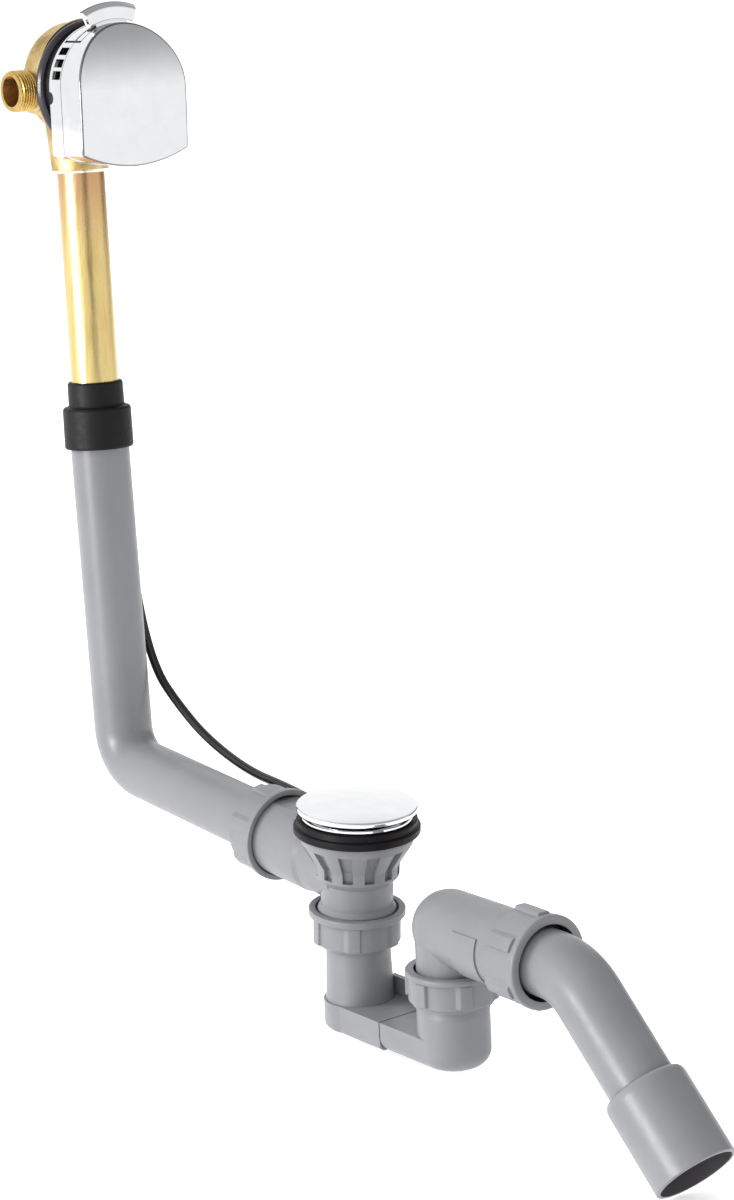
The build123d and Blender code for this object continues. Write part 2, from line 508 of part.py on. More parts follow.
def stadium(x0, x1, half, z0, z1, round_bottom=0.0):
    """Flat box with half round ends in plan."""
    s = box(x0, x1, -half, half, z0, z1) + cyl(half, z0, z1, x0) + cyl(half, z0, z1, x1)
    return s


SEAM = 45.5
GAP = 0.6                                            # joint line between the two halves


def rot_box(x0, x1, half, z0, z1, r):
    """Channel along X with rounded lower edges."""
    c = [(-half, z1), (-half, z0 + r), (-half + 0.076 * r, z0 + 0.617 * r), (-half + 0.293 * r, z0 + 0.293 * r), (-half + 0.617 * r, z0 + 0.076 * r), (-half + r, z0)]
    c = c + [(-y, z) for y, z in reversed(c)]
    f = make_face(Polyline([(x0, y, z) for y, z in c], close=True))
    return extrude(f, x1 - x0, dir=(1, 0, 0))


in_out = box(0, SEAM, -BH + 0.3, BH - 0.3, ZB + 0.9, ZT - 0.3) + cyl(BH + 0.6, ZB + 0.9, ZT - 0.3, 0)
e = [ed for ed in in_out.edges() if abs(ed.center().Z - (ZB + 0.9)) < 0.01 and not (abs(ed.center().X - SEAM) < 0.01)]
try:
    in_out = fillet(e, 4.0)
except Exception as ex:
    print("inlet half fillet skipped", ex)
in_out = in_out + rev([(0, -62.0), (DN40_R, -62.0), (DN40_R, -90.0), (20.9, -112.0), (21.2, ZT), (21.2, ZT - 1.5), (0, ZT - 1.5)])
in_cav = box(0, SEAM + 1, -BH + 2.8, BH - 2.8, ZB + 3.6, ZT - 2.9) + cyl(BH - 2.6, ZB + 3.6, ZT - 2.9, 0) + cyl(17.6, ZT - 4, -61, 0)
t_in = in_out - in_cav
t_in = t_in & (box(-60, SEAM, -60, 60, -140, -60))
# spigot lip that enters the other half
lip = rot_box(SEAM - 1.0, SEAM + 5.0, BH - 2.3, ZB + 2.6, ZT - 2.4, 8.6) - rot_box(SEAM - 2.0, SEAM + 6.0, BH - 3.6, ZB + 3.9, ZT - 3.7, 7.3)
t_in = t_in + lip + box(8.0, SEAM, BH - 4.0, BH - 0.4, ZT - 1.0, -105.0)
keep("trap_inlet_half", one(TRAP * t_in))

ou = box(SEAM + GAP, OX, -BH, BH, ZB, ZT) + (Pos(OX, 0, 0) * rev([(0, ZB), (BH, ZB), (BH, -101.5), (21.4, -97.0), (24.3, -96.2), (24.3, -94.4), (TR, -94.0), (TR, -83.2), (23.6, -82.4), (0, -82.4)]))
e = [ed for ed in ou.edges() if abs(ed.center().Z - ZB) < 0.01 and not (abs(ed.center().X - SEAM - GAP) < 0.01)]
try:
    ou = fillet(e, 10.5)
except Exception as ex:
    print("outlet half fillet skipped", ex)
ou_cav = rot_box(SEAM - 1, OX, BH - 2.2, ZB + 2.3, ZT - 2.3, 8.5)
end_cav = cyl(BH - 2.2, ZB + 2.3, ZT - 2.3, OX)
e = [ed for ed in end_cav.edges() if abs(ed.center().Z - ZB - 2.3) < 0.01 and ed.geom_type == GeomType.CIRCLE]
try:
    end_cav = fillet(e, 8.3)
except Exception as ex:
    print("outlet cavity fillet skipped", ex)
ou_cav = ou_cav + end_cav + cyl(18.4, ZT - 4, -92, OX) + cyl(20.9, -92.5, -76, OX)
ou = ou - ou_cav
# rear web, in line with the one on the inlet half
lug = box(SEAM + GAP, 64.0, BH - 4.0, BH - 0.4, ZT - 0.5, -105.0)
ou = ou + lug
keep("trap_outlet_half", one(TRAP * one(ou)))
jseal = rot_box(SEAM + 5.1, SEAM + 6.6, BH - 2.3, ZB + 2.6, ZT - 2.4, 8.6) - rot_box(SEAM + 5, SEAM + 7, BH - 3.7, ZB + 4.0, ZT - 3.8, 7.2)
keep("trap_joint_seal", one(TRAP * jseal))

# --- inlet cone seal round the trap pipe
cs2 = rev([(18.0, -77.0), (24.0, -77.0), (24.0, -77.6), (22.6, -79.5), (21.9, -81.0), (18.0, -81.0)])
cs2 = cs2 - (TRAP * cyl(DN40_R, -120, -60)) - n2
keep("inlet_cone_seal", one(cs2))

# --- elbow: vertical leg into the cup, level leg with the male end
EZ = -50.4
LEG_RISE = -0.49                                       # slope of the level leg against the trap, degrees
D5 = Vector(cos(LEG_RISE), 0, sin(LEG_RISE))
ELBOW = Plane(origin=(OX, 0, EZ), x_dir=(0, 1, 0), z_dir=D5)
ER0, ER1, ERV = 22.7, 23.2, 21.3                    # dome, level leg at the nut, upright leg
N4_AT = 87.0
THR4 = N4_AT - 10.2
el = Pos(OX, 0, EZ) * Sphere(ER0)
el = el + (ELBOW * rev([(0, 0), (ER0, 0), (ER1, 52), (ER1, 57), (TR + 0.9, 60.0), (TR + 0.9, THR4 - 1), (TR + 0.2, THR4), (0, THR4)]))
el = el + (Pos(OX, 0, 0) * rev([(0, EZ), (ERV + 0.4, EZ), (ERV, EZ - 12.0), (ERV, -80.2), (DN40_R, -81.2), (DN40_R, -90.5), (0, -90.5)]))
# raised plate on the side of the level leg
PLATE1, PLATE_Z0, PLATE_Z1 = 49.0, EZ - 20.5, EZ + 9.4
plate = (ELBOW * cyl(ER1 + 0.9, 27.5, PLATE1)) & box(OX + 20, OX + 60, -40, 0, PLATE_Z0, PLATE_Z1)
el = el + plate
el_in = Pos(OX, 0, EZ) * Sphere(17.8)
el_in = el_in + (ELBOW * (cyl(17.8, 0, 52) + cyl(DN40_R + 0.35, 52, 90))) + cyl(17.8, -95, EZ, OX)
el = el - el_in
keep("outlet_elbow", one(TRAP * one(el)))

# --- outlet nut on the cup; the elbow leaves it upwards
def exit_nut(ring_r, pad_r, base_r, gap_r, thread_r, length, ring_t, depth, step_at, turn):
    """Pipe exit face at z = 0 with the wide ring; open end at z = length."""
    prof = [(gap_r, 0), (ring_r - 1.4, 0), (ring_r, 1.4), (ring_r, ring_t), (base_r, ring_t + 0.8), (base_r, length - 0.8), (base_r - 0.8, length),
            (thread_r + 0.6, length), (thread_r, length - 0.8), (thread_r, length - depth), (gap_r, length - depth - 2.0)]
    return rev(prof) + pads(6, base_r, pad_r, ring_t - 0.1, length - 1.6, step_at, turn)


n3 = Pos(OX, 0, -74.8) * Rot(180, 0, 0) * exit_nut(28.0, 28.2, 26.4, 22.3, TR + 0.2, 19.2, 3.4, 13.2, 14.1, -1)
keep("outlet_nut", one(TRAP * n3))
cs3 = Pos(OX, 0, 0) * rev([(DN40_R + 0.02, -81.6), (24.0, -81.6), (24.0, -82.3), (20.8, -82.3), (20.8, -86.0), (DN40_R + 0.02, -86.0)])
keep("outlet_cone_seal", one(TRAP * cs3))

# --- bend nut and 45 degree bend
n4 = ELBOW * (Pos(0, 0, N4_AT) * Rot(180, 0, 0) * exit_nut(28.0, 29.4, 27.2, 22.15, TR + 1.1, 26.2, 4.2, 18.2, -157.0, -1))
keep("bend_nut", one(TRAP * n4))
BEND_AT = 108.2                                      # corner of the 45 degree bend along the elbow axis
BR45 = 42.0                                          # centre-line radius
DROP = 43.9                                          # slope of the last leg against the trap, degrees
D6 = Vector(cos(DROP), 0, -sin(DROP))
OUT = Vector(OX, 0, EZ)
BTURN = DROP + LEG_RISE
bk = BR45 * math.tan(math.radians(BTURN / 2))
cor = OUT + D5 * BEND_AT
q1 = cor - D5 * bk
q2 = cor + D6 * bk
bis2 = ((D5 * -1) + D6).normalized()
cen2 = cor + bis2 * (BR45 / math.sin(math.radians((180 - BTURN) / 2)))
mid2 = cen2 - bis2 * BR45
arc2 = ThreePointArc(q1, mid2, q2)
START = 58.0
L45 = 132.3


def bend_solid(r, extra=0.0):
    a = Plane(origin=OUT + D5 * (START - extra), z_dir=D5)
    n = (q1 - (OUT + D5 * (START - extra))).length
    s = a * (Pos(0, 0, n / 2) * Cylinder(r, n))
    s = s + sweep(Plane(origin=q1, z_dir=D5) * Circle(r), path=arc2)
    m = L45 - bk - 42.0 + extra
    s = s + Plane(origin=q2, z_dir=D6) * (Pos(0, 0, m / 2) * Cylinder(r, m))
    return s


bp = bend_solid(DN40_R - 0.05) - bend_solid(DN40_R - 2.2, 1.0)
keep("bend_pipe", one(TRAP * one(bp)))
cs4 = ELBOW * ring(DN40_R - 0.03, 24.4, THR4 + 0.05, THR4 + 1.9)
cs4 = cs4 - n4
keep("bend_cone_seal", one(TRAP * one(cs4)))

# --- end sleeve, DN40 inside, DN50 outside
E0 = 75.2                                            # where it starts along the sloping leg, from the corner
ES = Plane(origin=cor, x_dir=(0, 1, 0), z_dir=D6)
es = rev([(DN40_R, E0), (21.8, E0 + 0.1), (23.3, E0 + 0.9), (24.3, E0 + 2.2), (24.8, E0 + 3.8), (DN50_R, E0 + 5.6), (DN50_R, L45 - 0.6), (DN50_R - 0.5, L45), (DN50_R - 2.4, L45), (DN50_R - 2.6, 92.5), (DN40_R, 91.0)])
keep("end_sleeve", one(TRAP * (ES * es)))

# ================================================================ cable
g0 = head_pt(18, -38.0, -13)
CABLE_PTS = [g0, (-307.4, 21.7, 336.8), (-298.3, 21.3, 262.0), (-290.8, 22.8, 190.0), (-278.8, 24.8, 118.0), (-268.5, 25.2, 66.0),
             (-251.2, 25.8, 28.5), (-227.6, 26.4, 11.6), (-196.7, 27.5, -5.2), (-151.9, 29.0, -16.9), (-108.3, 29.8, -17.2), (-72.0, 30.0, CZ), (-46.0, 30.0, CZ)]
path, cable_radii = runs(CABLE_PTS)
sheath_len = path.length
start_pl = Plane(origin=path @ 0, z_dir=path % 0)
print("radii of the cable", cable_radii, "of the wire at the drum", wire_radii)
sheath = sweep(start_pl * (Circle(CABLE_R) - Circle(WIRE_R + 0.25)), path=path)
# straight ends that sit in the glands
sheath = sheath + (Plane(origin=path @ 0, z_dir=(path % 0) * -1) * (Pos(0, 0, 0.95) * (Cylinder(CABLE_R, 1.9) - Cylinder(WIRE_R + 0.25, 2))))
sheath = sheath + (Plane(origin=path @ 1, z_dir=path % 1) * (Pos(0, 0, 3.0) * (Cylinder(CABLE_R, 6.0) - Cylinder(WIRE_R + 0.25, 6.2))))
keep("cable_sheath", one(sheath))
wire = sweep(start_pl * Circle(WIRE_R), path=path)
wire = wire + sweep(Plane(origin=wire_up @ 0, z_dir=wire_up % 0) * Circle(WIRE_R), path=wire_up)
wire = wire + (Plane(origin=path @ 1, z_dir=path % 1) * (Pos(0, 0, 10.5) * Cylinder(WIRE_R, 21.0)))
keep("cable_wire", one(wire))
sec = math.pi * (CABLE_R ** 2 - (WIRE_R + 0.25) ** 2)
print("cable route length", round(sheath_len, 1), "sheath volume / section", round(PIECES["cable_sheath"].volume / sec, 1))

# ---------------------------------------------------------------- output
for name, shape in PIECES.items():
    export_step(shape, "parts/%s.step" % name)
print(len(PIECES), "pieces")
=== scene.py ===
import bpy
import bmesh
import math
import random
from mathutils import Matrix, Vector


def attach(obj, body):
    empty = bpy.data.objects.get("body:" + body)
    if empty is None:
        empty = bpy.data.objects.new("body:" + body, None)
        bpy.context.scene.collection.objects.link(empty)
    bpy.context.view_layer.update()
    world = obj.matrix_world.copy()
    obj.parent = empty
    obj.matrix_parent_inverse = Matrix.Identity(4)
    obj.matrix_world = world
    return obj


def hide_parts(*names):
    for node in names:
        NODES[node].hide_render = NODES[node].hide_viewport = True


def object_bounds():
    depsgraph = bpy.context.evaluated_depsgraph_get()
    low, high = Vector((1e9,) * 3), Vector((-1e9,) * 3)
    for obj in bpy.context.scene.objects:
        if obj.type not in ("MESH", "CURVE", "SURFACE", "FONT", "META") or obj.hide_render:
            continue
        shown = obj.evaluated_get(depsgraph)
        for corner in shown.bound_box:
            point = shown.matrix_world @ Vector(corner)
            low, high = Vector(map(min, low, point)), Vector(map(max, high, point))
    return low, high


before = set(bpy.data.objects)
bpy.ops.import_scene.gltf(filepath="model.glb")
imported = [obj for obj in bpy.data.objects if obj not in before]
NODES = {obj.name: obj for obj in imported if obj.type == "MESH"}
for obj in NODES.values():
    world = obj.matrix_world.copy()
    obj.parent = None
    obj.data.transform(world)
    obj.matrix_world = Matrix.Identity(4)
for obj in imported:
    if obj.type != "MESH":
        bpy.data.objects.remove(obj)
CAD_BOX = [list(c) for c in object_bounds()]
MM = 0.001
rad = math.radians


def sin(a):
    return math.sin(rad(a))


def cos(a):
    return math.cos(rad(a))


def tan(a):
    return math.tan(rad(a))


# ------------------------------------------------------------------ frames (mm, as in the model)
PIPE_LEAN, SIDE_LEAN, HEAD_LEAN = 6.2, 1.0, 3.5
AXIS_X, BEND_Z, HEAD_Z, SLEEVE_Z = -250.8, -29.5, 417.4, 205.0
BRANCH_Z, BRANCH_SLOPE = -34.0, 1.0
TRAP_TILT, PIVOT_Z = 3.7, -66.0
OX, EZ, LEG_RISE, BEND_AT, DROP = 89.9, -50.4, -0.49, 108.2, 43.9
N4_AT, L45, E0, BR45 = 87.0, 132.3, 75.2, 42.0


def pipe_axis_x(z):
    return AXIS_X - tan(PIPE_LEAN) * (z - BEND_Z)


def plane(origin, x_dir, z_dir):
    """Local frame to world, in mm."""
    z = Vector(z_dir).normalized()
    x = (Vector(x_dir) - z * Vector(x_dir).dot(z)).normalized()
    y = z.cross(x)
    m = Matrix((x, y, z)).transposed().to_4x4()
    m.translation = Vector(origin)
    return m


UP = Vector((-tan(PIPE_LEAN), 0, 1)).normalized()
TUBE_DIR = Vector((-tan(PIPE_LEAN), tan(SIDE_LEAN), 1)).normalized()
FWD = Vector((cos(HEAD_LEAN), 0, sin(HEAD_LEAN)))
HEAD_O = Vector((pipe_axis_x(HEAD_Z), tan(SIDE_LEAN) * (HEAD_Z - SLEEVE_Z), HEAD_Z))
HEAD = plane(HEAD_O, (0, 1, 0), FWD)
JOIN = Vector((pipe_axis_x(SLEEVE_Z), 0, SLEEVE_Z))
TUBE = plane(JOIN, (0, 1, 0), TUBE_DIR)
NECK = plane(HEAD_O, (0, 1, 0), TUBE_DIR)
INLET = plane(HEAD @ Vector((0, -1, 0)), FWD, (0, -1, 0))
BR_DIR = Vector((-cos(BRANCH_SLOPE), 0, sin(BRANCH_SLOPE)))
BRANCH = plane((0, 0, BRANCH_Z), (0, 1, 0), BR_DIR)
TRAP = Matrix.Translation((0, 0, PIVOT_Z)) @ Matrix.Rotation(rad(-TRAP_TILT), 4, "Y") @ Matrix.Translation((0, 0, -PIVOT_Z))
D5 = Vector((cos(LEG_RISE), 0, sin(LEG_RISE)))
D6 = Vector((cos(DROP), 0, -sin(DROP)))
OUT = Vector((OX, 0, EZ))
COR = OUT + D5 * BEND_AT
ELBOW = TRAP @ plane(OUT, (0, 1, 0), D5)
LAST = TRAP @ plane(COR, (0, 1, 0), D6)
I4 = Matrix.Identity(4)


# ------------------------------------------------------------------ mesh helpers
def make(name, verts, faces, M=I4, body="fixed", mat=None, angle=35.0):
    """A mesh piece from millimetre points in a local frame."""
    me = bpy.data.meshes.new(name)
    me.from_pydata([tuple((M @ Vector(v)) * MM) for v in verts], [], faces)
    me.validate()
    me.update()
    ob = bpy.data.objects.new(name, me)
    bpy.context.scene.collection.objects.link(ob)
    bm = bmesh.new()
    bm.from_mesh(me)
    bmesh.ops.remove_doubles(bm, verts=bm.verts, dist=2e-6)
    bmesh.ops.recalc_face_normals(bm, faces=bm.faces)
    bm.to_mesh(me)
    bm.free()
    smooth(ob, angle)
    if mat:
        me.materials.clear()
        me.materials.append(mat)
    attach(ob, body)
    return ob


def smooth(ob, angle=35.0):
    """Smooth shading with edges sharper than the angle kept."""
    me = ob.data
    if me.has_custom_normals:
        bpy.context.view_layer.objects.active = ob
        with bpy.context.temp_override(object=ob, active_object=ob, selected_objects=[ob]):
            bpy.ops.mesh.customdata_custom_splitnormals_clear()
    for p in me.polygons:
        p.use_smooth = True
    bm = bmesh.new()
    bm.from_mesh(me)
    lim = rad(angle)
    flags = {}
    for e in bm.edges:
        if len(e.link_faces) == 2:
            flags[e.index] = e.calc_face_angle(0.0) <= lim
    bm.free()
    for i, e in enumerate(me.edges):
        e.use_edge_sharp = not flags.get(i, True)


def round_profile(pts, default=0.0, seg=4):
    """Closed profile [(r, z) or (r, z, fillet)] with its corners rounded."""
    out = []
    n = len(pts)
    for i in range(n):
        p = Vector(pts[i][:2])
        f = pts[i][2] if len(pts[i]) > 2 else default
        a, b = Vector(pts[i - 1][:2]), Vector(pts[(i + 1) % n][:2])
        u, v = (a - p), (b - p)
        lu, lv = u.length, v.length
        if f <= 0 or lu < 1e-6 or lv < 1e-6:
            out.append((p.x, p.y))
            continue
        u, v = u / lu, v / lv
        c = max(-1.0, min(1.0, u.dot(v)))
        half = math.acos(c) / 2
        if half > rad(88.5):
            out.append((p.x, p.y))
            continue
        t = min(f / math.tan(half), lu * 0.45, lv * 0.45)
        r = t * math.tan(half)
        cen = p + (u + v).normalized() * (r / math.sin(half))
        s, e = p + u * t - cen, p + v * t - cen
        tot = s.angle(e)
        for k in range(seg + 1):
            w = k / seg
            q = (s * math.sin((1 - w) * tot) + e * math.sin(w * tot)) / math.sin(tot)
            out.append((cen.x + q.x, cen.y + q.y))
    return out


def lathe(name, profile, n=128, M=I4, body="fixed", mat=None, angle=35.0, fn=None, open_profile=False, dark=None):
    """Revolves a profile about local Z. fn(theta_deg, r, z) may change the radius.
    dark is (test(r, z), material) for the faces that get a second material."""
    verts, faces = [], []
    second = []
    m = len(profile)
    for j in range(n):
        th = 2 * math.pi * j / n
        c, s = math.cos(th), math.sin(th)
        for r, z in profile:
            rr = fn(math.degrees(th), r, z) if fn and r > 0 else r
            verts.append((rr * c, rr * s, z))
    for j in range(n):
        j2 = (j + 1) % n
        for i in range(m if not open_profile else m - 1):
            i2 = (i + 1) % m
            a, b, c_, d = j * m + i, j * m + i2, j2 * m + i2, j2 * m + i
            f = []
            for q in (a, b, c_, d):
                f.append(q)
            r1, r2 = profile[i][0], profile[i2][0]
            if r1 <= 0 and r2 <= 0:
                continue
            if r1 <= 0:
                f = [a, b, c_]
            elif r2 <= 0:
                f = [a, b, d]
            faces.append(f)
            if dark:
                second.append(bool(dark[0]((r1 + r2) / 2, (profile[i][1] + profile[i2][1]) / 2)))
    ob = make(name, verts, faces, M, body, mat, angle)
    if dark and len(ob.data.polygons) == len(second):
        ob.data.materials.append(dark[1])
        for p_, flag in zip(ob.data.polygons, second):
            p_.material_index = 1 if flag else 0
    return ob


def loft(name, rings, closed_ring=True, caps=True, M=I4, body="fixed", mat=None, angle=35.0, closed_path=False):
    """Joins rings of points with quads."""
    verts, faces = [], []
    n = len(rings[0])
    for r in rings:
        verts += list(r)
    k = len(rings)
    for i in range(k if closed_path else k - 1):
        for j in range(n if closed_ring else n - 1):
            a = i * n + j
            b = i * n + (j + 1) % n
            c = ((i + 1) % k) * n + (j + 1) % n
            d = ((i + 1) % k) * n + j
            faces.append((a, b, c, d))
    if caps and not closed_path:
        faces.append(tuple(range(n - 1, -1, -1)))
        faces.append(tuple((k - 1) * n + j for j in range(n)))
    return make(name, verts, faces, M, body, mat, angle)


# ------------------------------------------------------------------ materials
def srgb(r, g, b):
    f = lambda c: (c / 255 / 12.92) if c / 255 <= 0.04045 else ((c / 255 + 0.055) / 1.055) ** 2.4
    return (f(r), f(g), f(b), 1.0)


class Mat:
    """Small builder of node materials on object coordinates."""

    def __init__(self, name):
        self.m = bpy.data.materials.new(name)
        self.m.use_nodes = True
        self.nt = self.m.node_tree
        self.nt.nodes.clear()
        self.out = self.nt.nodes.new("ShaderNodeOutputMaterial")
        self.b = self.nt.nodes.new("ShaderNodeBsdfPrincipled")
        self.link(self.b.outputs[0], self.out.inputs[0])
        self.tc = self.nt.nodes.new("ShaderNodeTexCoord")

    def link(self, a, b):
        self.nt.links.new(a, b)

    def set(self, **kw):
        for k, v in kw.items():
            self.b.inputs[k.replace("_", " ")].default_value = v
        return self

    def coords(self, scale=(1, 1, 1), rot=(0, 0, 0), loc=(0, 0, 0)):
        n = self.nt.nodes.new("ShaderNodeMapping")
        n.inputs["Location"].default_value = loc
        n.inputs["Rotation"].default_value = rot
        n.inputs["Scale"].default_value = scale
        self.link(self.tc.outputs["Object"], n.inputs["Vector"])
        return n.outputs[0]

    def noise(self, scale, detail=3.0, rough=0.5, vec=None, distortion=0.0):
        n = self.nt.nodes.new("ShaderNodeTexNoise")
        n.inputs["Scale"].default_value = scale
        n.inputs["Detail"].default_value = detail
        n.inputs["Roughness"].default_value = rough
        n.inputs["Distortion"].default_value = distortion
        self.link(vec if vec is not None else self.tc.outputs["Object"], n.inputs["Vector"])
        return n.outputs["Fac"]

    def ramp(self, fac, stops):
        n = self.nt.nodes.new("ShaderNodeValToRGB")
        r = n.color_ramp
        while len(r.elements) < len(stops):
            r.elements.new(0.5)
        for e, (p, c) in zip(r.elements, stops):
            e.position = p
            e.color = c if len(c) == 4 else (c[0], c[1], c[2], 1)
        self.link(fac, n.inputs[0])
        return n.outputs["Color"]

    def range(self, fac, a, b, lo=0.0, hi=1.0):
        n = self.nt.nodes.new("ShaderNodeMapRange")
        n.inputs["From Min"].default_value = lo
        n.inputs["From Max"].default_value = hi
        n.inputs["To Min"].default_value = a
        n.inputs["To Max"].default_value = b
        self.link(fac, n.inputs["Value"])
        return n.outputs[0]

    def mix(self, fac, a, b, mode="MIX"):
        n = self.nt.nodes.new("ShaderNodeMix")
        n.data_type = "RGBA"
        n.blend_type = mode
        self.link(fac, n.inputs[0]) if not isinstance(fac, float) else setattr(n.inputs[0], "default_value", fac)
        for v, i in ((a, 6), (b, 7)):
            if isinstance(v, tuple):
                n.inputs[i].default_value = v
            else:
                self.link(v, n.inputs[i])
        return n.outputs[2]

    def math(self, op, a, b=0.0):
        n = self.nt.nodes.new("ShaderNodeMath")
        n.operation = op
        for v, i in ((a, 0), (b, 1)):
            if isinstance(v, (int, float)):
                n.inputs[i].default_value = v
            else:
                self.link(v, n.inputs[i])
        return n.outputs[0]

    def axis(self, vec, k):
        n = self.nt.nodes.new("ShaderNodeSeparateXYZ")
        self.link(vec, n.inputs[0])
        return n.outputs[k]

    def bump(self, h, strength, distance, prev=None):
        n = self.nt.nodes.new("ShaderNodeBump")
        n.inputs["Strength"].default_value = strength
        n.inputs["Distance"].default_value = distance
        self.link(h, n.inputs["Height"])
        if prev is not None:
            self.link(prev, n.inputs["Normal"])
        return n.outputs[0]

    def color(self, sock):
        self.link(sock, self.b.inputs["Base Color"])
        return self

    def rough(self, sock):
        self.link(sock, self.b.inputs["Roughness"])
        return self

    def normal(self, sock):
        self.link(sock, self.b.inputs["Normal"])
        return self


def plastic(name, c1, c2, r0=0.34, r1=0.46, grain=0.05):
    m = Mat(name)
    big = m.noise(22, 4, 0.55, distortion=0.4)
    m.color(m.ramp(big, [(0.32, c1), (0.68, c2)]))
    flow = m.noise(140, 3, 0.6)
    m.rough(m.range(flow, r0, r1, 0.3, 0.7))
    fine = m.noise(2600, 2, 0.5)
    soft = m.noise(55, 2, 0.5)
    n1 = m.bump(soft, 0.10, 0.0006)
    m.normal(m.bump(fine, grain, 0.0001, n1))
    m.set(Specular_IOR_Level=0.42)
    return m.m


GREY = plastic("grey_plastic", srgb(117, 118, 121), srgb(124, 125, 128))
GREY_NUT = plastic("grey_plastic_nut", srgb(116, 117, 120), srgb(125, 126, 129), 0.36, 0.5, 0.07)
GREY_PIPE = plastic("grey_plastic_pipe", srgb(117, 118, 121), srgb(123, 124, 127), 0.30, 0.42, 0.03)
WHITE = plastic("white_plastic", srgb(214, 214, 210), srgb(224, 224, 221), 0.35, 0.5)


def rubber(name, c1, c2, r0, r1, grain=0.2, spec=0.26):
    m = Mat(name)
    a = m.noise(60, 3, 0.6)
    m.color(m.ramp(a, [(0.3, c1), (0.7, c2)]))
    m.rough(m.range(m.noise(320, 3, 0.6), r0, r1, 0.3, 0.7))
    m.normal(m.bump(m.noise(1900, 3, 0.6), grain, 0.0001))
    m.set(Specular_IOR_Level=spec)
    return m.m


def plastic_with_painted_bore_shade(name, c1, c2, inside, axis_at, axis_dir, r_in):
    """The pipe's plastic, with painted shade inside the bore: a darker colour within r_in of the axis."""
    m = Mat(name)
    n = m.nt.nodes.new("ShaderNodeVectorMath")
    n.operation = "SUBTRACT"
    m.link(m.tc.outputs["Object"], n.inputs[0])
    n.inputs[1].default_value = axis_at
    c = m.nt.nodes.new("ShaderNodeVectorMath")
    c.operation = "CROSS_PRODUCT"
    m.link(n.outputs[0], c.inputs[0])
    c.inputs[1].default_value = Vector(axis_dir).normalized()
    ln = m.nt.nodes.new("ShaderNodeVectorMath")
    ln.operation = "LENGTH"
    m.link(c.outputs[0], ln.inputs[0])
    dist = ln.outputs["Value"]
    base = m.ramp(m.noise(22, 4, 0.55, distortion=0.4), [(0.32, c1), (0.68, c2)])
    # within r_in of the axis the colour turns to the bore's painted shade colour
    m.color(m.mix(m.range(dist, 1.0, 0.0, r_in, r_in + 0.0005), base, inside))
    m.rough(m.range(m.noise(140, 3, 0.6), 0.30, 0.42, 0.3, 0.7))
    n1 = m.bump(m.noise(55, 2, 0.5), 0.10, 0.0006)
    m.normal(m.bump(m.noise(2600, 2, 0.5), 0.03, 0.0001, n1))
    m.set(Specular_IOR_Level=0.42)
    return m.m


BLACK_RUBBER = rubber("black_rubber", srgb(6, 5, 6), srgb(14, 13, 15), 0.44, 0.58, 0.2, 0.2)
GASKET = rubber("gasket_rubber", srgb(18, 15, 25), srgb(30, 26, 38), 0.24, 0.34, 0.12, 0.6)
SEAL = rubber("seal_rubber", srgb(7, 3, 6), srgb(13, 8, 12), 0.40, 0.52, 0.15, 0.16)
CABLE = rubber("cable_black", srgb(12, 12, 14), srgb(22, 22, 25), 0.20, 0.30, 0.06, 0.5)
BLACK_PLASTIC = rubber("black_plastic", srgb(22, 22, 23), srgb(30, 30, 32), 0.30, 0.44, 0.08)


def chrome(name, c=(0.69, 0.70, 0.71), r0=0.028, r1=0.07, wave=0.012):
    m = Mat(name)
    cloud = m.noise(90, 3, 0.5)
    lo = (c[0] * 0.97, c[1] * 0.97, c[2] * 0.975, 1)
    hi = (c[0] * 1.02, c[1] * 1.02, c[2] * 1.02, 1)
    m.color(m.ramp(cloud, [(0.3, lo), (0.7, hi)]))
    m.rough(m.range(m.noise(260, 4, 0.65), r0, r1, 0.35, 0.7))
    m.normal(m.bump(m.noise(45, 1, 0.4), wave, 0.0004))
    m.set(Metallic=1.0)
    return m.m


CHROME = chrome("chrome_plate")
CHROME_CAP = chrome("chrome_cap", (0.72, 0.725, 0.735), 0.05, 0.09, 0.004)


def steel(name, c, r0, r1):
    m = Mat(name)
    m.color(m.ramp(m.noise(400, 3, 0.6), [(0.3, (c[0] * 0.8, c[1] * 0.8, c[2] * 0.8)), (0.7, c)]))
    m.rough(m.range(m.noise(900, 2, 0.5), r0, r1, 0.3, 0.7))
    m.normal(m.bump(m.noise(2200, 2, 0.5), 0.12, 0.0001))
    m.set(Metallic=1.0)
    return m.m


STEEL = steel("screw_steel", (0.62, 0.61, 0.60), 0.25, 0.42)
WIRE = steel("wire_steel", (0.5, 0.5, 0.51), 0.28, 0.4)


def cast_brass(name):
    m = Mat(name)
    base = m.ramp(m.noise(70, 4, 0.6), [(0.30, srgb(152, 124, 70)), (0.50, srgb(184, 160, 106)), (0.72, srgb(204, 188, 142))])
    spots = m.range(m.noise(420, 3, 0.7), 0.0, 0.30, 0.55, 0.75)
    m.color(m.mix(spots, base, srgb(128, 98, 44)))
    m.rough(m.range(m.noise(180, 4, 0.6), 0.30, 0.50, 0.3, 0.7))
    n1 = m.bump(m.noise(110, 3, 0.6), 0.42, 0.0008)
    m.normal(m.bump(m.noise(900, 4, 0.65), 0.42, 0.0003, n1))
    m.set(Metallic=1.0)
    return m.m


def turned_brass(name, dark=False):
    m = Mat(name)
    if dark:
        stops = [(0.3, srgb(196, 128, 50)), (0.7, srgb(222, 158, 78))]
    else:
        stops = [(0.3, srgb(176, 142, 76)), (0.7, srgb(204, 174, 106))]
    m.color(m.ramp(m.noise(300, 3, 0.6), stops))
    m.rough(m.range(m.noise(700, 2, 0.5), 0.40 if dark else 0.16, 0.55 if dark else 0.28, 0.3, 0.7))
    m.normal(m.bump(m.noise(60, 2, 0.5, m.coords((1, 30, 1))), 0.03, 0.0001))
    m.set(Metallic=0.35 if dark else 1.0)
    return m.m


